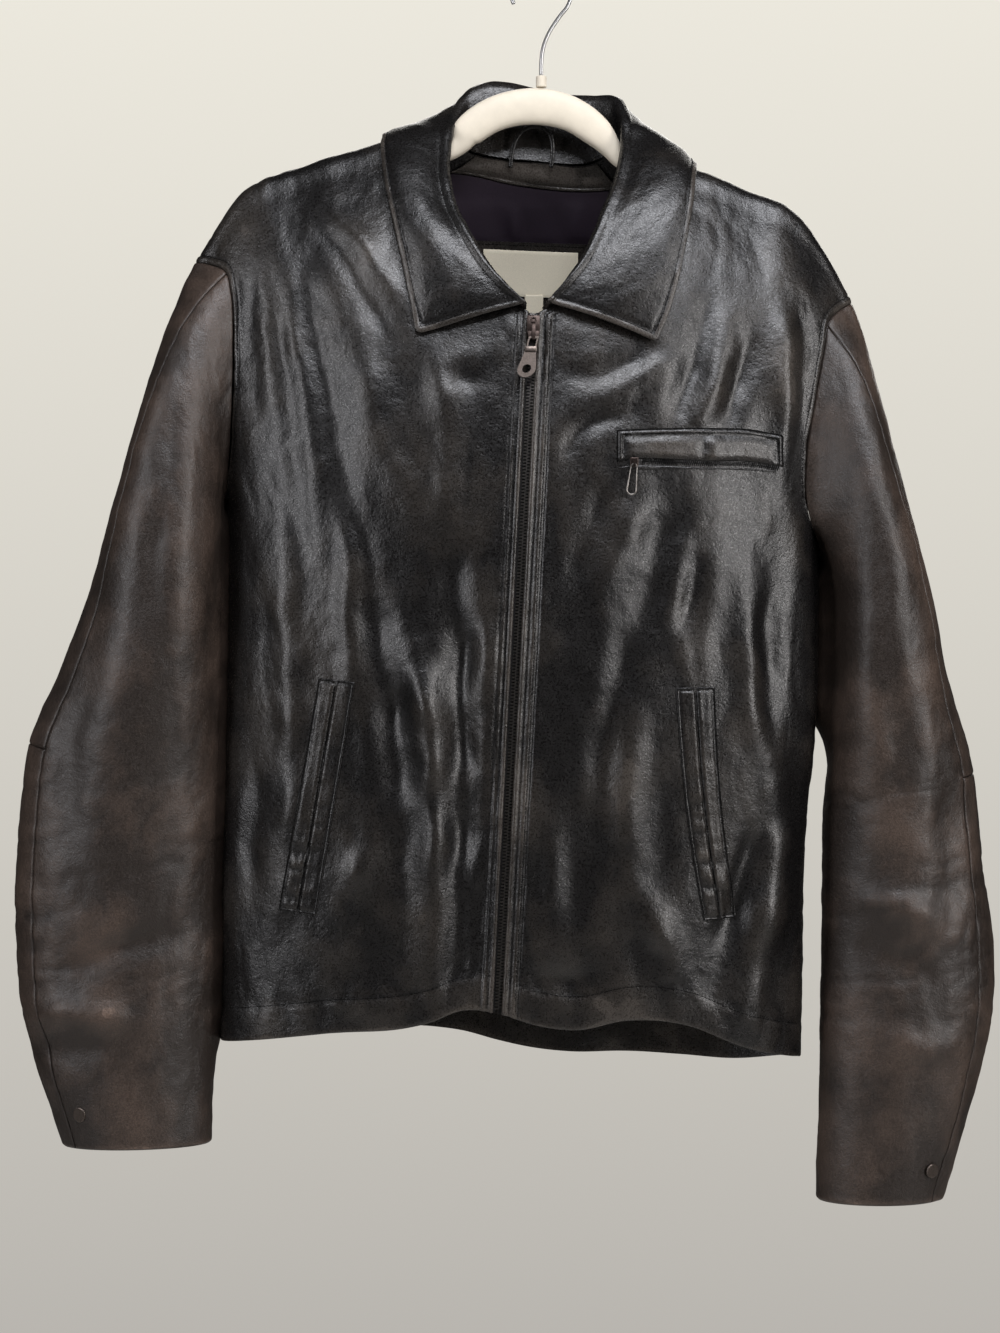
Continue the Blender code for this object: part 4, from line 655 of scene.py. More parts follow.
def zip_side_profile(distance, face, s):
    """Height of the folded and stitched leather beside the teeth; s runs down the zip."""
    waver = 0.25 * noise(s / 60, s * 0, 11)
    stitch = distance - PLACKET_STITCH[face]
    if face == "left":
        beads = 1.5 * bump(distance - 2.3, 1.8) + 1.3 * bump(distance - 8.6 - waver, 1.9)
        return beads - 0.9 * bump(distance - 5.4, 0.8) - 1.1 * bump(stitch - waver, 0.9)
    beads = 0.9 * bump(distance - 2.0, 1.6) + 0.5 * bump(distance - 7.2, 1.2)
    return beads - 1.0 * bump(stitch, 0.8) - 0.7 * bump(distance - 9.4 - waver, 0.9)


def hem_relief(x, hem, seed):
    """The hem's turned edge, the step where its turn ends, its stitches and the puckers about them."""
    return (roll(hem, 2.2, 0.9) + 0.45 * smooth((26 - hem) / 3) - 0.6 * bump(hem - HEM_STITCH, 0.9)
            + puckers(x + 0.4 * hem, hem - HEM_STITCH, 13, 13, 0.75, seed))


def worn(height, more, edge):
    """How worn each place is: ridges and edges most."""
    return 0.45 + 0.05 * height + 0.3 * more + 0.5 * edge


def front_relief(points, height, side):
    """Stitched edges, creases and puckers of a front, and how worn each place is."""
    near, far, _, hem = edge_distances(points)
    x, z = points[..., 0], points[..., 2]
    on_zip = smooth((ZIP_TOP[1] + 4 - z[:, :1]) / 8)
    seam = smooth((0.31 - ROWS[:, None]) / 0.02)
    more = zip_side_profile(near, side, z) * on_zip
    more += puckers(z, near - 6, 9, 11, 0.5, 21 if side == "left" else 22) * on_zip
    more += roll(near, 1.2, 0.8) + roll(far, 2.6, 1.1)
    more += seam * (0.7 * bump(far - 3.4, 1.6) - 0.5 * bump(far - ARM_STITCH, 0.9))
    more += puckers(z, far - 4, 10, 9, 0.35, 31) + hem_relief(x, hem, 41)
    more += noises(x, z, (1.25, 34, 90, 51), (0.16, 7, 12, 53), (0.10, 4.2, 5.2, 71))
    more += 0.5 * noise(x / 15 + 0.3 * noise(x / 40, z / 40, 54), z / 34, 52)
    lean = 6 if side == "left" else -10
    more += 0.22 * creases(z, x, 63, 16, 40, 12) - 0.5 * creases(x, z, 61, 17, 60, lean)
    edge = np.minimum(np.where(on_zip > 0.5, near, 99), np.minimum(hem, np.where(seam > 0.5, far, 99)))
    return more, worn(height, more, bump(edge, 3))


def back_relief(points, height):
    near, far, top, hem = edge_distances(points)
    x, z = points[..., 0], points[..., 2]
    more = roll(near, 2.6, 1.1) + roll(far, 2.6, 1.1) + roll(top, 2.2, 0.8) + hem_relief(x, hem, 42)
    more += noises(x, z, (1.1, 36, 95, 55), (0.4, 15, 34, 56), (0.16, 7, 12, 57), (0.10, 4.2, 5.2, 72))
    more -= 0.5 * creases(x, z, 65, 18, 64, 4)
    return more, worn(height, more, bump(hem, 3))


def finish_body(panels):
    for name, (points, normals, height) in panels.items():
        if name == "back":
            more, wear = back_relief(points, height)
        else:
            more, wear = front_relief(points, height, name.split("_")[1])
        flat = trimmed(points, SEAM / 2)
        outer, inner = flat + normals * more[..., None], flat - normals * LEATHER
        surfaces[name], surfaces[name + "_inside"] = outer, inner
        sew(outer, normals, "bottom", HEM_STITCH)
        if name != "back":
            sew(outer, normals, "near", PLACKET_STITCH[name.split("_")[1]], (0.26, 1))
            sew(outer, normals, "far", ARM_STITCH, (0, 0.29))
        shell(name + "_leather", outer, inner, BLACK_LEATHER, (name,), wear)


# ---------------------------------------------------------------- sleeves

STRIP_PART, BACK_PART, ELBOW_ROW = 0.22, 0.58, 0.59
FRONT_LAP, BACK_LAP = 3, 24  # how far a sleeve's inner side laps over the body's front and behind its back
FULL_TURN = 2 * math.pi


def ring_points(rings, turn, down):
    """Points of a plain sleeve: turn 0 is its outer line, half a turn its inner; down goes to the cuff."""
    ring = Ring(*np.moveaxis(through(np.linspace(0, 1, len(rings)), rings, down), -1, 0))
    outer = np.stack([ring.out_x, ring.out_z], axis=-1)
    inner = np.stack([ring.in_x, ring.in_z], axis=-1)
    plane = (outer + inner) / 2 + (outer - inner) / 2 * np.cos(turn)[..., None]
    y = (ring.back + ring.front) / 2 - (ring.back - ring.front) / 2 * np.sin(turn)
    return np.stack([plane[..., 0], y, plane[..., 1]], axis=-1)


def loop_of(front, back, back_column):
    """The armhole at the sleeve's turns: its place and the body's outward direction there."""
    rows = ROWS[ROWS <= ARM_SHARE + ROUNDING]
    last = len(rows)
    down = SLEEVE_TURNS[SLEEVE_TURNS <= math.pi] / math.pi * ARM_SHARE
    up = (FULL_TURN - SLEEVE_TURNS[SLEEVE_TURNS > math.pi]) / math.pi * ARM_SHARE
    return [
        np.concatenate([read(down, rows, front[k][:last, -1]), read(up, rows, back[k][:last, back_column])])
        for k in (0, 1)
    ]


def mitre(first, second):
    """Where two seamed walls meet at a blunt angle both take the direction between them."""
    share = smooth((np.sum(first * second, axis=-1, keepdims=True) - 0.2) / 0.4)
    between = unit(first + second)
    return unit(first * (1 - share) + between * share), unit(second * (1 - share) + between * share)


def sleeve(panels, side):
    """Grid of one sleeve with its folds. It also turns the edges of the body panels that it meets."""
    front, back, back_column = panels[f"front_{side}"], panels["back"], 0 if side == "right" else -1
    way = FRONTS[side].way
    loop, body_normals = loop_of(front, back, back_column)
    turn, down = np.meshgrid(SLEEVE_TURNS, SLEEVE_DOWN)
    points = ring_points(SLEEVE_RIGHT if side == "right" else SLEEVE_LEFT, turn, down)
    points = points + (loop - points[0]) * ((1 - np.clip(down / ARMHOLE_REACH, 0, 1)) ** 2.5)[..., None]
    lap = FRONT_LAP * bump(turn / math.pi - 0.79, 0.18) + BACK_LAP * bump(turn / math.pi - 1.14, 0.15)
    lap = lap * smooth((down - 0.03) / 0.14) * smooth((0.97 - down) / 0.2)
    if side == "left":
        lap = lap * smooth((points[..., 2] + 600) / 60)
    points[..., 0] -= way * lap
    normals = normals_of(points, (way, 0, 0), closed=True)
    behind = np.where(normals[..., 1] > 0, 25.0, 0.0)
    height = relief(SLEEVE_FOLDS, points[..., 0], points[..., 2] + behind) * np.abs(normals[..., 1])
    height = height * smooth(down / 0.12) * smooth((1 - down) / 0.06)
    points = points + normals * height[..., None]
    normals = normals_of(points, (way, 0, 0), closed=True)
    turned, normals[0] = mitre(body_normals, normals[0])
    rows = ROWS[ROWS < ARM_SHARE - ROUNDING]
    part = rows / ARM_SHARE * math.pi
    front[1][: len(rows), -1] = read(part, SLEEVE_TURNS, turned)
    round_turns, turned = np.append(SLEEVE_TURNS, FULL_TURN), np.concatenate([turned, turned[:1]])
    back[1][: len(rows), back_column] = read(FULL_TURN - part, round_turns, turned)
    return points, normals, height


def sleeve_relief(grid, height, down, side):
    """Stitched edges, creases and puckers of one piece of a sleeve."""
    near, far, top, bottom = edge_distances(grid)
    at, z = grid[..., 0] + 0.6 * grid[..., 1], grid[..., 2]
    cuff, elbow = smooth((down - 0.95) / 0.03), bump(down - 0.72, 0.13)
    more = roll(near, 2.4, 1.0) + roll(far, 2.4, 1.0) + roll(top, 2.4, 1.0) + roll(bottom, 2.2, 0.9)
    more += puckers(z, np.minimum(near, far), 12, 14, 0.5, 81)
    more += cuff * puckers(at, bottom - CUFF_STITCH, 12, 12, 0.6, 82)
    more += noises(at, z, (1.2, 38, 85, 83), (0.5, 17, 36, 84), (0.3, 8, 13, 88), (0.15, 4.2, 5.2, 87))
    more -= (0.35 + 0.5 * elbow) * creases(at, z, 85, 20, 55, 20 if side == "right" else -20)
    more -= 0.9 * elbow * creases(z, at, 86, 15, 60, 12)
    return more, worn(height, more, bump(bottom, 3) * cuff)


def finish_sleeve(points, normals, height, side):
    """The three pieces of a sleeve, each with its own edges."""
    turns, start, stop = SLEEVE_TURNS / math.pi, STRIP_PART, 2 - BACK_PART
    front = np.flatnonzero((turns >= start - ROUNDING) & (turns <= stop + ROUNDING))
    later, sooner = turns >= stop - ROUNDING, turns <= start + ROUNDING
    back = np.concatenate([np.flatnonzero(later), np.flatnonzero(sooner)])
    for part, rows, columns in (
        ("front", SLEEVE_DOWN >= 0, front),
        ("back", SLEEVE_DOWN <= ELBOW_ROW + ROUNDING, back),
        ("elbow", SLEEVE_DOWN >= ELBOW_ROW - ROUNDING, back),
    ):
        name = f"sleeve_{side}_{part}"
        cut = np.ix_(np.flatnonzero(rows), columns)
        grid, outward = trimmed(points[cut], 0.25), normals[cut]
        more, wear = sleeve_relief(grid, height[cut], SLEEVE_DOWN[rows][:, None], side)
        outer = grid + outward * more[..., None]
        inner = trimmed(points[cut], -0.5) - outward * LEATHER
        shell(name + "_leather", outer, inner, BROWN_LEATHER, (name,), wear)


# ---------------------------------------------------------------- collar

def neck_place(station):
    """The neckline point of a station, the body's outward direction there, and the way into the neck."""
    table = dict(right=NECK_RIGHT, back=NECK_BACK, left=NECK_LEFT)[station.seam]
    face, way = ("back", 1) if station.seam == "back" else ("front", -1)

    def on_neckline(part):
        x, z = seam_places(table, part)
        return body_points(face, turn_at(x, z), z)

    x, z = seam_places(table, station.part)
    here, turn = on_neckline(station.part), turn_at(x, z)
    around = body_points(face, turn + 0.01, z) - body_points(face, turn - 0.01, z)
    upward = body_points(face, turn, z + 0.5) - body_points(face, turn, z - 0.5)
    normal = unit(np.cross(around, upward))
    if np.dot(normal, (0, way, 0.3)) < 0:
        normal = -normal
    seam = unit(on_neckline(station.part + 0.01) - on_neckline(station.part - 0.01))
    inward = unit(np.cross(seam, normal))
    if np.dot(inward, (-here[0] - 5, 10 - here[1], 30)) < 0:
        inward = -inward
    return here, normal, inward


def collar_section(station):
    """Points across the collar from the neckline seam, over the roll, to its outer edge."""
    here, normal, inward = neck_place(station)
    base = here - normal * LEATHER + inward * SEAM * 4.5
    roll_top, edge = np.array(station[2:5], float), np.array(station[5:8], float)
    stand = unit(roll_top - base)
    fall = edge - roll_top
    side = unit(fall - np.dot(fall, stand) * stand)
    middle = roll_top - stand * station.round
    turns = np.linspace(0, math.pi, 5)
    arc = [middle + station.round * (stand * math.sin(a) - side * math.cos(a)) for a in turns]
    fall = edge - arc[-1]
    outward = unit(stand - np.dot(stand, unit(fall)) * unit(fall))
    leaf = [
        arc[-1] + fall * share + outward * station.bulge * swell
        for share, swell in ((0.2, 0.6), (0.45, 1), (0.73, 0.8), (1, 0))
    ]
    return [base, (base + arc[0]) / 2] + arc + leaf


def tree_of(*names):
    """The outsides of finished pieces, to lay others on."""
    points, faces, first = [], [], 0
    for name in names:
        points += surfaces[name].reshape(-1, 3).tolist()
        faces += quads_of(surfaces[name].shape, first)[1].tolist()
        first = len(points)
    return BVHTree.FromPolygons(points, faces)


def make_collar():
    """The collar's grid, from its seam over the roll to its edge, lifted clear of the body below it."""
    coarse = np.array([collar_section(station) for station in COLLAR_STATIONS]).transpose(1, 0, 2)
    coarse = resample(coarse, (np.linspace(0, 1, 60), even_columns(coarse, spread(560, 3.0), -1)))
    rows = even_columns(coarse.transpose(1, 0, 2), spread(90, 2.2, (False, True)), 5)
    points = resample(coarse, (rows, np.linspace(0, 1, coarse.shape[1])))
    tree = tree_of("front_right", "front_left", "back")
    middle, clear, near_enough = Vector((0, 0, -300)), COLLAR + 1.6, 14
    for _ in range(2):
        need = np.zeros(points.shape[:2])
        for row in range(math.ceil(len(points) * 0.35), len(points)):
            for column in range(points.shape[1]):
                place = Vector(points[row, column])
                near, normal, _, away = tree.find_nearest(place)
                height = (place - near).dot(normal if normal.dot(place - middle) > 0 else -normal)
                need[row, column] = max(clear - height, 0) if away < near_enough else 0
        soft = smoothed(np.maximum(smoothed(need, 12), need * 0.9), 3)
        # A leaf is lifted mostly straight out from the body.
        points = points + unit((points - (-4, 0, -420)) * (1, 1, 0.25)) * soft[..., None]
    return points


def finish_collar(grid):
    """The collar with its rounded corners, its stitched rim and the pale band of wear along its edge."""
    normals = normals_of(grid, (0, 0, 1))
    if normals[-1, grid.shape[1] // 2, 1] < 0:
        normals = -normals
    near, far, _, leaf_edge = edge_distances(grid)
    for ends, way in ((near, 1), (far, -1)):
        a, b = np.clip(1 - ends / LEAF_CORNER, 0, 1), np.clip(1 - leaf_edge / LEAF_CORNER, 0, 1)
        inwards, upwards = unit(way * np.gradient(grid, axis=1)), unit(-np.gradient(grid, axis=0))
        grid = grid + inwards * (LEAF_CORNER * a * (1 - np.sqrt(1 - b**2 / 2)))[..., None]
        grid = grid + upwards * (LEAF_CORNER * b * (1 - np.sqrt(1 - a**2 / 2)))[..., None]
    rim = -1.2 * np.log(np.exp(-near / 1.2) + np.exp(-far / 1.2) + np.exp(-leaf_edge / 1.2))
    rim = np.clip(rim, 0, None)
    more = roll(rim, 0.9, 0.5) - 0.9 * bump(rim - LEAF_STITCH, 0.6) + 0.2 * bump(rim - 2.4, 1.5)
    more += noises(near, leaf_edge, (0.5, 22, 22, 111), (0.3, 9, 9, 112))
    more += puckers(near, leaf_edge - LEAF_STITCH, 9, 10, 0.4, 113)
    outer, wear = grid + normals * more[..., None], 0.28 + 0.3 * more + 0.95 * smooth(LEAF_STITCH - 0.4 - rim)
    shell("collar_leather", outer, grid - normals * COLLAR, BLACK_LEATHER, ("collar",), wear)
    for edge, part in (("bottom", (0, 1)), ("near", (0.4, 1)), ("far", (0.4, 1))):
        sew(outer, normals, edge, LEAF_STITCH, part)


# ---------------------------------------------------------------- leather, cloth, metal

def node(tree, kind, inputs=(), **settings):
    """A node; each of its inputs is a value, or the output that is linked to it."""
    made = tree.nodes.new("ShaderNode" + kind)
    for key, value in settings.items():
        setattr(made, key, value)
    feed(tree, made, dict(inputs))
    return made


def feed(tree, made, inputs):
    for key, value in inputs.items():
        if isinstance(value, bpy.types.NodeSocket):
            tree.links.new(value, made.inputs[key])
        else:
            made.inputs[key].default_value = value


def ramp(tree, source, *stops):
    """Colours by a value; each stop is its place and its colour."""
    made = node(tree, "ValToRGB", dict(Fac=source))
    elements = made.color_ramp.elements
    for k, (place, colour) in enumerate(stops):
        element = elements[k] if k < 2 else elements.new(place)
        element.position, element.color = place, (*colour, 1)
    return made.outputs["Color"]


def ranged(tree, source, low, high, to_low, to_high):
    values = {"Value": source, "From Min": low, "From Max": high, "To Min": to_low, "To Max": to_high}
    return node(tree, "MapRange", values).outputs["Result"]


def texture(tree, kind, scale, **inputs):
    where = node(tree, "TexCoord").outputs["Object"]
    return node(tree, kind, dict(Vector=where, Scale=scale, **inputs))


def bumps(tree, *layers):
    """Relief in layers; each is its height, its strength and its depth in metres."""
    normal = {}
    for height, strength, depth in layers:
        raised = node(tree, "Bump", dict(Height=height, Strength=strength, Distance=depth, **normal))
        normal = dict(Normal=raised.outputs["Normal"])
    return normal["Normal"]


def new_finish(name):
    made = bpy.data.materials.new(name)
    made.use_nodes = True
    return made, made.node_tree


def leather(name, dark, light, rough, plain_below):
    """Waxed leather: grain and pebbling in the bump, mottled colour, duller and paler where worn, and paler
    still where painted light is set into the wear value.
    """
    made, tree = new_finish(name)
    patches = texture(tree, "TexNoise", 14, Detail=5, Roughness=0.6).outputs["Fac"]
    fine = texture(tree, "TexNoise", 820, Detail=3, Roughness=0.6).outputs["Fac"]
    grain = texture(tree, "TexVoronoi", 780).outputs["Distance"]
    pebble = texture(tree, "TexNoise", 240, Detail=4, Roughness=0.65).outputs["Fac"]
    wear = node(tree, "Attribute", attribute_name="wear").outputs["Fac"]
    old = node(tree, "Math", {0: wear, 1: 0.5, 2: patches}, operation="MULTIPLY_ADD").outputs[0]
    scuffed = [1.8 * part for part in light]
    colour = ramp(tree, old, (plain_below, dark), (0.96, light), (1.0, scuffed))
    speckle = ranged(tree, fine, 0.38, 0.62, 0.78, 1.25)
    dotted = node(tree, "VectorMath", {0: colour, "Scale": speckle}, operation="SCALE")
    feed(tree, tree.nodes["Principled BSDF"], {
        "Base Color": dotted.outputs["Vector"],
        "Roughness": ranged(tree, fine, 0.3, 0.7, rough - 0.12, rough + 0.12),
        "Specular IOR Level": 0.5,
        "Normal": bumps(tree, (pebble, 0.6, 0.0007), (fine, 0.8, 0.0002), (grain, 0.4, 0.00015)),
    })
    return made


def finish_of(name, colour, rough, metallic=0.0, grain=300.0, vary=0.25, gloss=0.5):
    """A small part's finish: its colour varies a little and its surface has a fine grain."""
    made, tree = new_finish(name)
    fine = texture(tree, "TexNoise", grain, Detail=4, Roughness=0.6).outputs["Fac"]
    dark, light = [[min(c * share, 1) for c in colour] for share in (1 - vary, 1 + vary)]
    feed(tree, tree.nodes["Principled BSDF"], {
        "Base Color": ramp(tree, fine, (0.3, dark), (0.7, light)),
        "Roughness": rough,
        "Metallic": metallic,
        "Specular IOR Level": gloss,
        "Normal": bumps(tree, (fine, 0.4, 0.0001)),
    })
    return made


# ---------------------------------------------------------------- small shapes that repeat

def pick(made, kind, test):
    """Selects, in edit mode, the vertices or faces that pass a test, and nothing else."""
    shape = bmesh.from_edit_mesh(made.data)
    chosen = [part for part in getattr(shape, kind) if test(part)]
    bpy.ops.mesh.select_all(action="DESELECT")
    for part in chosen:
        part.select = True
    if kind == "verts":
        shape.select_flush_mode()
    bmesh.update_edit_mesh(made.data)


def in_edit(**placed):
    """The new shape, with its turn and size in its mesh, opened for editing."""
    made = bpy.context.active_object
    if placed:
        bpy.ops.object.transform_apply(**placed)
    bpy.ops.object.mode_set(mode="EDIT")
    return made


def taken(made):
    """The places and faces of a finished shape, which is then removed."""
    bpy.ops.object.mode_set(mode="OBJECT")
    points = np.array([vertex.co for vertex in made.data.vertices])
    faces = [tuple(polygon.vertices) for polygon in made.data.polygons]
    bpy.data.objects.remove(made)
    bpy.ops.object.select_all(action="DESELECT")
    return points, faces


def stitch_shape():
    """One stitch, 1 long and 1 thick: a round thread whose ends dip into their holes."""
    bpy.ops.mesh.primitive_cylinder_add(vertices=6, radius=0.5, depth=1, rotation=(0, math.radians(90), 0))
    made = in_edit(rotation=True)
    pick(made, "faces", lambda face: abs(face.normal.x) > 0.9)
    bpy.ops.mesh.inset(thickness=0.18, use_boundary=True)
    bpy.ops.transform.translate(value=(0, 0, -0.32))
    return taken(made)


def tooth_shape():
    """One tooth of the zip, seen from the front: a small bar."""
    bpy.ops.mesh.primitive_cube_add(size=1, scale=(3.1, 1.5, 1.1))
    return taken(in_edit(scale=True))


def blocks(rounded, rows):
    """Blocks in one shape; each has its middle, its size, and how much of its width its lower end keeps."""
    bpy.ops.mesh.primitive_cube_add(size=1, location=(0, 0, 0))
    made = in_edit()
    bpy.ops.mesh.delete(type="VERT")
    for middle, size, lower in rows:
        bpy.ops.mesh.primitive_cube_add(size=1, location=middle)
        bpy.ops.transform.resize(value=size)
        pick(made, "verts", lambda vertex: vertex.select and vertex.co.z < middle[2])
        bpy.ops.transform.resize(value=(lower, 1, 1))
    bpy.ops.mesh.select_all(action="SELECT")
    bpy.ops.mesh.bevel(offset=rounded, segments=2, affect="EDGES")
    bpy.ops.mesh.normals_make_consistent(inside=False)
    return made


def stamp(name, shape, places, finish, body="jacket", replaces=(), sharp=40):
    """Copies of one small shape; each place is its middle, and its three axes with their lengths."""
    base, faces = shape
    middles, axes = places
    points = np.einsum("vk,nki->nvi", base, axes) + middles[:, None, :]
    mesh = bpy.data.meshes.new(name)
    copied = [tuple(index + k * len(base) for index in face) for k in range(len(middles)) for face in faces]
    mesh.from_pydata((points.reshape(-1, 3) * MM).tolist(), [], copied)
    mesh.update()
    made = new_piece(name, mesh, finish)
    made.select_set(True)
    bpy.context.view_layer.objects.active = made
    bpy.ops.object.shade_smooth_by_angle(angle=math.radians(sharp))
    bpy.ops.object.select_all(action="DESELECT")
    settle(made, body, replaces)


def line_at(grid, distance, value, axis):
    """The line of a grid along which a distance has a value, looked for along one axis of the grid."""
    lines, away = (grid, distance) if axis == 1 else (grid.transpose(1, 0, 2), distance.T)
    found = []
    for points, reach in zip(lines, away):
        order = slice(None, None, 1 if reach[-1] > reach[0] else -1)
        found.append(read(value, reach[order], points[order]))
    return np.array(found)


def sew(grid, normals, side, inset, part=(0.0, 1.0), pitch=3.3, length=2.5, thick=0.55):
    """Stitches along one side of a piece, inset from its edge; part is the share of the side they cover."""
    away = dict(zip(("near", "far", "top", "bottom"), edge_distances(grid)))[side]
    axis = 1 if side in ("near", "far") else 0
    path, ups = [line_at(values, away, inset, axis) for values in (grid, normals)]
    run = lengths(path)
    at = np.arange(max(part[0] * run[-1], inset) + pitch / 2, min(part[1] * run[-1], run[-1] - inset), pitch)
    ahead = unit(read(at + length / 2, run, path) - read(at - length / 2, run, path))
    aside = unit(np.cross(unit(read(at, run, ups)), ahead))
    up = np.cross(ahead, aside)
    axes = np.stack([ahead * length, aside * thick, up * thick * 0.8], axis=1)
    stitched.append((read(at, run, path) + up * 0.1, axes))


# ---------------------------------------------------------------- pieces laid on the leather

def cast(tree, x, z, start=-300):
    """Places on a finished piece straight behind the given x and z."""
    points = np.zeros(x.shape + (3,))
    for index in np.ndindex(x.shape):
        hit = tree.ray_cast(Vector((x[index], start, z[index])), Vector(BEHIND))[0]
        points[index] = hit if hit is not None else (x[index], points[index[0], index[1] - 1, 1], z[index])
    return points


def lay(name, tree, x, z, thick, profile, finish, replaces, start=-300, lift=0.15, wear=0.55):
    """A piece laid on another; profile gives the relief of its outside from its base and its four edges."""
    base = cast(tree, x, z, start)
    if start < 0:
        for _ in range(2):
            base[1:-1, 1:-1, 1] = np.minimum(smoothed(base[..., 1], 1), base[..., 1])[1:-1, 1:-1]
    normals = normals_of(base, AHEAD)
    more = profile(base, *edge_distances(base))
    outer = base + normals * (lift + thick + more)[..., None]
    shell(name, outer, base + normals * lift, finish, (replaces,), wear + 0.4 * more)
    return outer, normals


def four_sided(corners, down, across, bow=0.0):
    """x and z of a four-sided piece: corners top near, top far, bottom near, bottom far."""
    down, across = np.meshgrid(down, across, indexing="ij")
    a, b, c, d = [np.array(corner, float) for corner in corners]
    upper, lower = a + (b - a) * across[..., None], c + (d - c) * across[..., None]
    flat = upper + (lower - upper) * down[..., None]
    return flat[..., 0] + bow * np.sin(math.pi * down), flat[..., 1]


# Each hand pocket: near and far corner of its top and of its bottom, its bow, and a seed.
HAND_POCKETS = dict(
    right=(((-135.2, -535.3), (-161.8, -532.2)), ((-163.7, -704.4), (-191.8, -700.9)), 0, 121),
    left=(((95.7, -539.2), (124.3, -538.7)), ((116.4, -708.4), (141.3, -706.9)), -3, 131),
)
SLIT_EDGES = dict(near=(0, 0.487), far=(0.513, 1))  # where each welt starts and stops across the pocket


def make_hand_pocket(side):
    """Two welts with stitched outer edges, which meet along a slit and have puckered with wear."""
    tree = tree_of(f"front_{side}")
    *ends, bow, seed = HAND_POCKETS[side]
    ends = np.array(ends)
    for name, across in SLIT_EDGES.items():
        square = [near + (far - near) * share for near, far in ends for share in across]
        x, z = four_sided(square, spread(169, 2.0), spread(12.5, 1.5), bow)

        def profile(base, near, far, top, bottom):
            outer, slit = (near, far) if name == "near" else (far, near)
            edge = np.minimum(np.minimum(outer, top), bottom)
            more = roll(edge, 1.0, 1.2) + roll(slit, 2.4, 1.5) - 0.8 * bump(edge - 2.0, 0.6)
            more += 0.5 * smooth((edge - 2.2) / 3) + 0.3 * bump(slit - 2.4, 1.4)
            old = smooth((top - (90 if name == "far" else 55)) / 40) * smooth((bottom - 4) / 10)
            swell = noises(base[..., 2], base[..., 0], (1, 8.5, 30, seed), (0.6, 4.4, 20, seed + 1))
            strong = 1.0 if (name == "far") == (side == "right") else 0.6
            return more + strong * (0.25 + old) * swell * smooth((edge - 2) / 3)

        welt = f"pocket_{side}_{name}_welt"
        outer, normals = lay(f"hand_{welt}", tree, x, z, 1.0, profile, BLACK_LEATHER, welt, wear=0.35)
        for edge in (name, "top", "bottom"):
            sew(outer, normals, edge, 1.6, pitch=2.4, length=2.1, thick=0.6)


CHEST_TOP = ((53.5, -354.3), (85, -352.8), (120, -352.0), (150, -352.2), (175, -356.0))
CHEST_SLIT = ((53.5, -377.2), (62, -375.6), (80, -375.4), (120, -376.6), (150, -376.4), (175, -379.5))
CHEST_BOTTOM = ((53.5, -380.6), (62, -381.4), (100, -381.0), (130, -380.6), (160, -381.2), (175, -382.0))


CHEST_TOOTH = 0.62  # size of its teeth, as a share of the front zip's


def make_chest_pocket():
    """A full welt over a zipped slit, the lip below the slit, and the small teeth between them."""
    tree = tree_of("front_left")
    x = CHEST_TOP[0][0] + (CHEST_TOP[-1][0] - CHEST_TOP[0][0]) * spread(121.5, 1.9)

    def laid(name, above, below, rows, *args):
        z = above * (1 - rows[:, None]) + below * rows[:, None]
        return lay(f"chest_{name}_leather", tree, x + 0 * z, z, *args, f"chest_pocket_{name}", wear=0.3)

    def welt_profile(base, near, far, top, bottom):
        edge = np.minimum(np.minimum(near, far), top)
        more = roll(edge, 0.8, 1.3) - 0.5 * bump(edge - 0.5, 0.6) + roll(bottom, 1.6, 1.2)
        more += 0.5 * smooth((9 - bottom) / 8) + 0.4 * bump(edge - 2.7, 0.9) - 0.7 * bump(edge - 4.4, 0.7)
        more += 1.3 * smooth((edge - 5) / 6) * smooth(bottom / 5)
        more += noises(base[..., 0], base[..., 2], (0.35, 16, 20, 95))
        for across, height, high in ((116, -366, -1.1), (123, -367, 0.8)):
            more += high * bump(np.hypot(base[..., 0] - across, (base[..., 2] - height) * 0.5), 4)
        return more

    def lip_profile(base, near, far, top, bottom):
        return roll(np.minimum(near, far), 1.5, 0.7) + roll(np.minimum(top, bottom), 1.3, 0.7)

    top, slit, bottom = [through(*zip(*table), x) for table in (CHEST_TOP, CHEST_SLIT, CHEST_BOTTOM)]
    outer, normals = laid("welt", top, slit + 0.7, spread(25, 1.5), 1.1, welt_profile, BLACK_LEATHER)
    for edge in ("near", "far", "top"):
        sew(outer, normals, edge, 0.7, pitch=2.3, length=2.3, thick=1.1)
        sew(outer, normals, edge, 4.4, pitch=2.4, length=2.2, thick=0.6)
    laid("lip", slit - 3.9, bottom - 1.0, np.linspace(0, 1, 7), 0.9, lip_profile, BLACK_LEATHER)
    at = np.arange(72, 172, 1.5)
    z = through(*zip(*CHEST_SLIT), at)[None, :] - 1.2
    places, axes = [], []
    for sign, shift in ((-1, 0), (1, 0.75)):
        places.append(cast(tree, (at + shift)[None, :], z)[0] + (0, -0.1, sign * 0.7))
        small = CHEST_TOOTH * np.array([(0, 0, -sign), (0, 1, 0), (sign, 0, 0)])
        axes.append(np.tile(small, (len(at), 1, 1)))
    rows = in_rows(places, axes)
    # The chain's teeth take a near-black, almost glossless finish: painted shade for the dark slit they lie
    # in, not the colour of their metal.
    stamp("chest_zip_chain", tooth_shape(), rows, SLIT_PAINTED_SHADE, replaces=("chest_pocket_teeth",))


# ---------------------------------------------------------------- front zip

TOOTH_PITCH = 2.35
SLIDER_PLACE, SLIDER_TILT = (-6.67, -73.675, -281.0), 0.19
STRAP_PLACE = (-8.6, -80.6, -296.4)
CHEST_HINGE, CHEST_LEAN = (65.5, -84.257, -379.0), math.radians(6)
LOOP_DROP = 18.6  # from the chest hinge to the middle of its loop's lower end


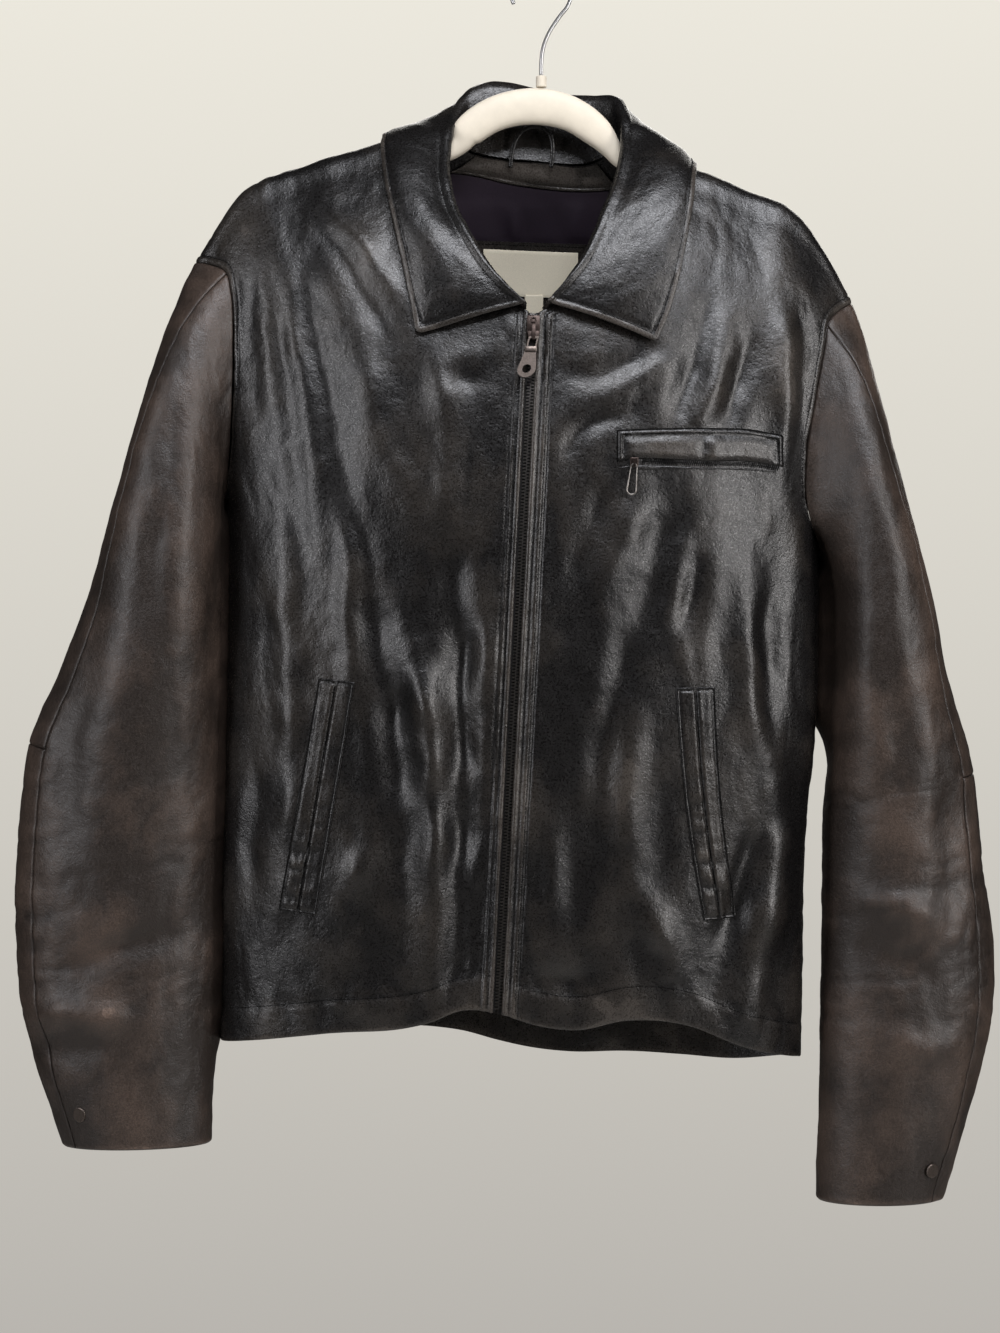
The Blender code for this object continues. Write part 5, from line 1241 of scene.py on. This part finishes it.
def in_rows(places, axes):
    """All rows of teeth together; the third axis is turned where a copy would be mirrored."""
    places, axes = np.concatenate(places), np.concatenate(axes)
    axes[np.linalg.det(axes) < 0, 2] *= -1
    return places, axes


def make_zip(panels):
    """Two rows of teeth that mesh, on cloth tapes behind the edges of the fronts."""
    below = ROWS >= NECK_SHARE - ROUNDING
    middle = (panels["front_right"][0][below, 0] + panels["front_left"][0][below, 0]) / 2
    middle[:, 0] = zip_x(middle[:, 2])
    run = lengths(middle)
    places, axes = [], []
    for sign, shift in ((-1, 0), (1, TOOTH_PITCH / 2)):
        at = np.arange(2 + shift, run[-1] - 3, TOOTH_PITCH)
        spots = read(at, run, middle)
        down = unit(read(at + 2, run, middle) - spots)
        inwards = unit(np.cross(down, (1.0, 0, 0)))
        inwards *= np.sign(inwards[:, 1:2])
        places.append(spots + (sign * 1.15, 1.0, 0))
        axes.append(np.stack([np.tile((-sign, 0.0, 0.0), (len(at), 1)), inwards, down], axis=1))
    stamp("zip_chain", tooth_shape(), in_rows(places, axes), TEETH_METAL, replaces=("zip_teeth",))
    for side, row in FRONTS.items():
        points, normals = [grid[below] for grid in panels[f"front_{side}"][:2]]
        near, depth = edge_distances(points)[0], LEATHER + 0.9
        columns = []
        for reach in (0, 2, 4, 6, 8):
            line, outward = [line_at(values, near, reach, 1) for values in (points, normals)]
            columns.append(line - outward * depth)
        columns = [columns[0] - (row.way * reach, 0, 0) for reach in (2.2, 1.0)] + columns
        grid = np.stack(columns, axis=1)
        shell(f"zip_tape_{side}_cloth", grid, grid + (0, 0.6, 0), TAPE, (f"zip_tape_{side}",))


def make_hardware():
    """The front zip's slider with its rivet and bridge, its pull's strap, and the chest pull's wire loop."""
    def ring(major, minor, segments, place=(0, 0, 0)):
        bpy.ops.mesh.primitive_torus_add(
            major_radius=major, minor_radius=minor, major_segments=segments[0], minor_segments=segments[1],
            location=place, rotation=(math.radians(90), 0, 0),
        )

    c, s = math.cos(SLIDER_TILT), math.sin(SLIDER_TILT)
    tilted = np.array([[(1, 0, 0), (0, c, -s), (0, s, c)]], float)
    made = blocks(0.4, (
        ((0, -1.3, 3.6), (9.6, 2.5, 11.8), 0.97),  # shoulders of the plate
        ((0, -1.3, -5.6), (9.3, 2.5, 7.4), 0.72),  # its narrow end
        ((0, -5.52, -4.0), (3.2, 1.0, 11.4), 0.8),  # bridge, and its two feet
        ((0, -3.7, 1.0), (2.8, 3.4, 1.3), 1),
        ((0, -3.7, -9.25), (2.4, 3.4, 0.9), 1),
    ))
    ring(1.75, 0.55, (28, 10), (0, -2.9, 6.0))
    place = np.array([SLIDER_PLACE]), tilted
    stamp("slider_body", taken(made), place, DEEP_METAL, replaces=("zip_slider",), sharp=35)
    made = blocks(0.5, (((0, 0, 0), (8.4, 2.6, 4.4), 1),))
    place = np.array([STRAP_PLACE]), tilted
    stamp("pull_strap", taken(made), place, DARK_METAL, "main_zip_pull", sharp=35)
    ring(3.3, 0.62, (36, 12))
    made = in_edit(rotation=True)
    pick(made, "verts", lambda vertex: vertex.co.z > 0.2)
    bpy.ops.transform.translate(value=(0, 0, 15.5))
    bpy.ops.transform.resize(value=(0.68, 1, 1))
    c, s = math.cos(CHEST_LEAN), math.sin(CHEST_LEAN)
    leaning = np.array([[(c, 0, -s), (0, 1, 0), (s, 0, c)]], float)
    place = np.array([CHEST_HINGE]) - LOOP_DROP * leaning[:, 2], leaning
    stamp("chest_pull_loop", taken(made), place, BRIGHT_METAL, "pocket_zip_pull", ("chest_pull",), 60)


# ---------------------------------------------------------------- inside the neck, hanger, hook

FACING_BOTTOM = ((-72, -152.5), (-50, -155), (-28, -160), (2, -164.5), (32, -166.5), (62, -165))
LINING_BOTTOM = -330
# Bare pieces: near and far side, top, bottom, thickness, lift, how much one end hangs lower.
PATCHES = dict(
    bare_patch=(-50, 35, -203, -252, 1.0, 3.2, 1.5),
    bare_label=(-43.5, 28.5, -209, -243, 0.6, 4.6, 1.5),
    bare_size_tab=(-12, 2, -241.5, -256, 0.5, 5.6, 0),
)


def make_neck_inside():
    """The leather strip under the collar seam, the lining below it, and the bare patch, label and tab."""
    tree = tree_of("back_inside")

    def facing(x):
        return through(*zip(*FACING_BOTTOM), x)

    down, x = np.meshgrid(spread(20, 1.6), np.linspace(-49, 42, 46), indexing="ij")
    top = along(NECK_BACK, "x", "z", x) - 1.5
    x = x * (1 + 0.4 * down)
    z = top * (1 - down) + facing(x) * down

    def strip_profile(base, near, far, top, lower):
        more = roll(lower, 1.4, 0.9) - 0.8 * bump(lower - 3.0, 0.7) + 1.2 * bump(lower - 9, 5)
        more += 0.4 * bump(lower - 1.4, 1)
        return more + noises(base[..., 0], base[..., 2], (0.6, 14, 9, 101))

    # The strip's wear value of 0.9 makes it paler than its wear alone would: painted light, for the light
    # that the collar and hanger keep off it.
    outer, normals = lay(
        "neck_strip", tree, x, z, 1.2, strip_profile, BLACK_LEATHER, "neck_facing", 0, 0.7, 0.9
    )
    sew(outer, normals, "bottom", 2.6, pitch=2.8, length=2.1, thick=0.45)
    down, x = np.meshgrid(np.linspace(0, 1, 60), np.linspace(-92, 80, 80), indexing="ij")
    z = (facing(x) - 0.6) * (1 - down) + LINING_BOTTOM * down

    def lining_profile(base, *edges):
        x, z = base[..., 0], base[..., 2]
        folds = 1.6 * bump(x + 20 + 0.08 * (z + 200), 5) + 1.2 * bump(x - 25, 7)
        folds = folds * smooth((-172 - z) / 20) * smooth((z + 208) / 14)
        slack = 1 + noise(x / 18 + z / 60, z / 45, 103)
        return (folds * 0.8 + 0.8 * slack) * smooth((-168 - z) / 12) * smooth((z + 207) / 8)

    lay("neck_lining", tree, x, z, LINING, lining_profile, SATIN, "back_lining", 0, 1.0)
    replaced = ("label_patch", "neck_label", "size_tab")
    for (name, (near, far, top, bottom, thick, lift, lean)), old in zip(PATCHES.items(), replaced):
        square = ((near, top + lean), (far, top - lean), (near, bottom + lean), (far, bottom - lean))
        x, z = four_sided(square, np.linspace(0, 1, 26), np.linspace(0, 1, 40))
        is_leather = name == "bare_patch"

        def profile(base, *edges):
            edge = np.min(edges, axis=0)
            return roll(edge, 0.8, 0.3) - is_leather * 0.25 * bump(edge - 2.2, 0.6)

        finish = BLACK_LEATHER if is_leather else CREAM
        outer, normals = lay(name, tree, x, z, thick, profile, finish, old, 0, lift, 0.9)
        for edge in ("near", "far", "top", "bottom") if is_leather else ():
            sew(outer, normals, edge, 2.2, pitch=2.6, length=2.0, thick=0.42)


def rod(name, line, halves, finish, replaces, power=1.0, sides=16, wear=0.5):
    """A bar along a line in an upright plane; halves are half its depth and half its height at each point."""
    ahead = unit(np.gradient(line, axis=0))
    depthways = np.tile((0.0, 1.0, 0.0), (len(line), 1))
    out = unit(np.cross(ahead, depthways))
    turns = np.linspace(0, FULL_TURN, sides, endpoint=False)
    c, s = [np.sign(v) * np.abs(v) ** power for v in (np.cos(turns), np.sin(turns))]
    halves = np.broadcast_to(halves, (len(line), 2))
    ring = line[:, None, :] + depthways[:, None, :] * (halves[:, :1] * c)[..., None]
    ring = ring + out[:, None, :] * (halves[:, 1:] * s)[..., None]
    index = np.arange(len(line) * sides).reshape(len(line), sides)
    after = np.roll(index, -1, axis=1)
    quads = np.stack([index[:-1], after[:-1], after[1:], index[1:]], axis=-1).reshape(-1, 4)
    made = from_grids(name, ring.reshape(-1, 3) * MM, quads, finish)
    shape = bmesh.new()
    shape.from_mesh(made.data)
    bmesh.ops.holes_fill(shape, edges=[edge for edge in shape.edges if edge.is_boundary])
    bmesh.ops.recalc_face_normals(shape, faces=shape.faces)
    shape.to_mesh(made.data)
    shape.free()
    made.data.shade_smooth()
    put_wear(made, np.full(len(made.data.vertices), wear))
    settle(made, "jacket", (replaces,))


def smooth_line(route, count):
    """Points along a smooth curve through a route."""
    route = np.array(route, float)
    run = lengths(route)
    return through(run, route, np.linspace(0, run[-1], count))


def make_loop():
    """The strip of leather that the jacket can hang by: sewn in at both ends, arched between them."""
    route = (
        (-23, 13.5, -150), (-22, 13.2, -141), (-19.5, 12.2, -131), (-14.5, 11.2, -123.5), (-7, 10.6, -120),
        (1, 10.8, -120.5), (7, 11.6, -126), (8.8, 12.6, -135), (7.5, 13.4, -150),
    )
    rod("hanging_loop", smooth_line(route, 60), (1.0, 1.6), BLACK_LEATHER, "hanger_loop", wear=0.0)


def make_hanger():
    """The moulded hanger, and its hook: straight from the ferrule, a bend aside, then most of a circle."""
    x, top, tall, half = smooth_line(HANGER, 150).T
    line, halves = np.stack([x, x * 0, top - tall / 2], axis=1), np.stack([half, tall / 2], axis=1)
    rod("moulded_hanger", line, halves, IVORY, "hanger", 0.85, 20)
    shaft = [(0, 0, -83.9), (0, 0, -76), (0.4, 0, -69), (2, 0, -61), (5.2, 0, -53), (10, 0, -45)]
    turns, radius = np.radians(np.linspace(-44, 205, 60)), 22.5
    bow = [(radius * math.cos(turn), 0, -21 + radius * math.sin(turn)) for turn in turns]
    rod("wire_hook", smooth_line(shaft + bow, 150), (1.5, 1.5), CHROME, "hook")


# ---------------------------------------------------------------- camera, light, floor

VIEW_DISTANCE, VIEW_HEIGHT, SENSOR = 2.2, 0.993085, 24  # the frame takes in this height at this distance
# Each lamp: its place, what it lights, its size, power and colour.
LAMPS = dict(
    ceiling=((0.3, -1.45, 1.35), (0, 0, -0.4), (1.5, 0.8), 55, (0.94, 0.95, 1.0)),
    window=((1.5, -1.3, -0.1), (0.1, 0, -0.5), (0.35, 1.5), 25, (1.0, 0.97, 0.96)),
    lamp_left=((-1.7, -1.2, -0.1), (-0.1, 0, -0.5), (0.35, 1.5), 18, (0.98, 0.97, 1.0)),
    behind=((0.3, 2.0, 0.5), (0, 0, -0.45), (1.6, 1.4), 26, (1.0, 0.97, 0.92)),
)


def placed(name, data, place):
    made = bpy.data.objects.new(name, data)
    made.location = place
    bpy.context.scene.collection.objects.link(made)
    return made


def make_camera():
    camera = bpy.data.cameras.new("camera")
    camera.sensor_fit = "VERTICAL"
    camera.sensor_height = SENSOR
    camera.lens = SENSOR * VIEW_DISTANCE / VIEW_HEIGHT
    camera.clip_start, camera.clip_end = 0.05, 50
    made = placed("camera", camera, (-0.03075, -VIEW_DISTANCE, -0.524))
    made.rotation_euler = (math.radians(90), 0, 0)
    bpy.context.scene.camera = made


def make_lamps():
    for name, (place, aim, size, power, colour) in LAMPS.items():
        light = bpy.data.lights.new(name, "AREA")
        light.shape = "RECTANGLE"
        light.size, light.size_y = size
        light.energy, light.color = power, colour
        turn = (Vector(aim) - Vector(place)).to_track_quat("-Z", "Y")
        placed(name, light, place).rotation_euler = turn.to_euler()


def make_room():
    """A pale room, greyer towards the bottom as painted shade: its walls are what shows round the jacket, and
    light it only a little.
    """
    world = bpy.data.worlds.new("room")
    bpy.context.scene.world = world
    world.use_nodes = True
    tree = world.node_tree
    tree.nodes.clear()
    where = node(tree, "TexCoord").outputs["Generated"]
    height = ranged(tree, node(tree, "SeparateXYZ", dict(Vector=where)).outputs["Z"], -0.25, 0.25, 0, 1)
    # Painted shade: the walls run from grey below to pale above, for the room's light falling off downwards.
    pale = ramp(tree, height, (0, (0.46, 0.44, 0.41)), (1, (0.86, 0.83, 0.745)))
    wall = node(tree, "Background", dict(Color=pale))
    glow = node(tree, "Background", dict(Color=(1.0, 0.95, 0.88, 1), Strength=0.03))
    seen = node(tree, "LightPath").outputs["Is Camera Ray"]
    mix = node(tree, "MixShader", {0: seen, 1: glow.outputs["Background"], 2: wall.outputs["Background"]})
    node(tree, "OutputWorld", dict(Surface=mix.outputs["Shader"]))


def make_floor():
    bpy.ops.mesh.primitive_circle_add(vertices=96, radius=2.5, fill_type="NGON", location=(0, 0, 0))
    floor = bpy.context.active_object
    floor.name = "floor"
    floor.data.transform(Matrix.Translation((0, 0, -1.72)))
    made, tree = new_finish("painted_floor")
    mottle = texture(tree, "TexNoise", 3, Detail=4).outputs["Fac"]
    painted = ramp(tree, mottle, (0, (0.60, 0.58, 0.55)), (1, (0.66, 0.64, 0.60)))
    feed(tree, tree.nodes["Principled BSDF"], {"Base Color": painted, "Roughness": 0.85})
    floor.data.materials.append(made)
    bpy.ops.object.select_all(action="DESELECT")


# ---------------------------------------------------------------- the jacket

make_camera()
make_room()
make_lamps()
make_floor()
bpy.context.scene.view_settings.view_transform = "Standard"

BLACK_LEATHER = leather("waxed_black_leather", (0.0042, 0.0038, 0.0038), (0.022, 0.0188, 0.016), 0.31, 0.66)
BROWN_LEATHER = leather("worn_sleeve_leather", (0.0155, 0.0105, 0.0078), (0.060, 0.041, 0.031), 0.46, 0.60)
SATIN = finish_of("lining_satin", (0.016, 0.011, 0.017), 0.34, grain=900)
TAPE = finish_of("zip_tape_cloth", (0.012, 0.011, 0.011), 0.85, grain=1600)
THREAD = finish_of("waxed_thread", (0.003, 0.0028, 0.0028), 0.85, grain=2500, gloss=0.06)
CREAM = finish_of("woven_label", (0.72, 0.66, 0.52), 0.8, grain=1500, vary=0.08)
TEETH_METAL = finish_of("blackened_teeth", (0.085, 0.08, 0.075), 0.4, 1.0, grain=900)
DARK_METAL = finish_of("antique_brass_black", (0.12, 0.10, 0.088), 0.38, 1.0, grain=900)
DEEP_METAL = finish_of("oxide_black", (0.05, 0.038, 0.034), 0.42, 1.0, grain=900)
BRIGHT_METAL = finish_of("rubbed_wire", (0.30, 0.28, 0.26), 0.34, 1.0, grain=900)
# Painted shade: near black with hardly any gloss, so that the chest zip's teeth read as the shadowed slit.
SLIT_PAINTED_SHADE = finish_of("slit_painted_shade", (0.004, 0.0038, 0.0038), 0.8, grain=900, gloss=0.08)
IVORY = finish_of("ivory_hanger", (0.66, 0.60, 0.49), 0.55, grain=120, vary=0.04)
CHROME = finish_of("bright_wire", (0.5, 0.5, 0.5), 0.3, 1.0, grain=500, vary=0.08)

surfaces, stitched = {}, []
ROWS = panel_rows()
SLEEVE_TURNS = distinct(
    FULL_TURN * np.linspace(0, 1, 131)[:-1],
    math.pi * (STRIP_PART + BESIDE / 190),
    math.pi * (2 - BACK_PART + BESIDE / 190),
)
SLEEVE_DOWN = distinct(spread(640, STEP), ELBOW_ROW + BESIDE / 640)
panels = make_body()
sleeves = {side: sleeve(panels, side) for side in FRONTS}
finish_body(panels)
for side, made in sleeves.items():
    finish_sleeve(*made, side)
finish_collar(make_collar())
for side in FRONTS:
    make_hand_pocket(side)
make_chest_pocket()
make_zip(panels)
make_hardware()
make_neck_inside()
make_loop()
make_hanger()
stamp("topstitching", stitch_shape(), [np.concatenate(values) for values in zip(*stitched)], THREAD)

for name, finish in (
    ("hook_ferrule", IVORY),
    ("zip_pull", DARK_METAL),
    ("snap_left", DARK_METAL),
    ("snap_right", DARK_METAL),
    ("chest_slider", DEEP_METAL),
):
    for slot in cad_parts[name].material_slots:
        slot.material = finish
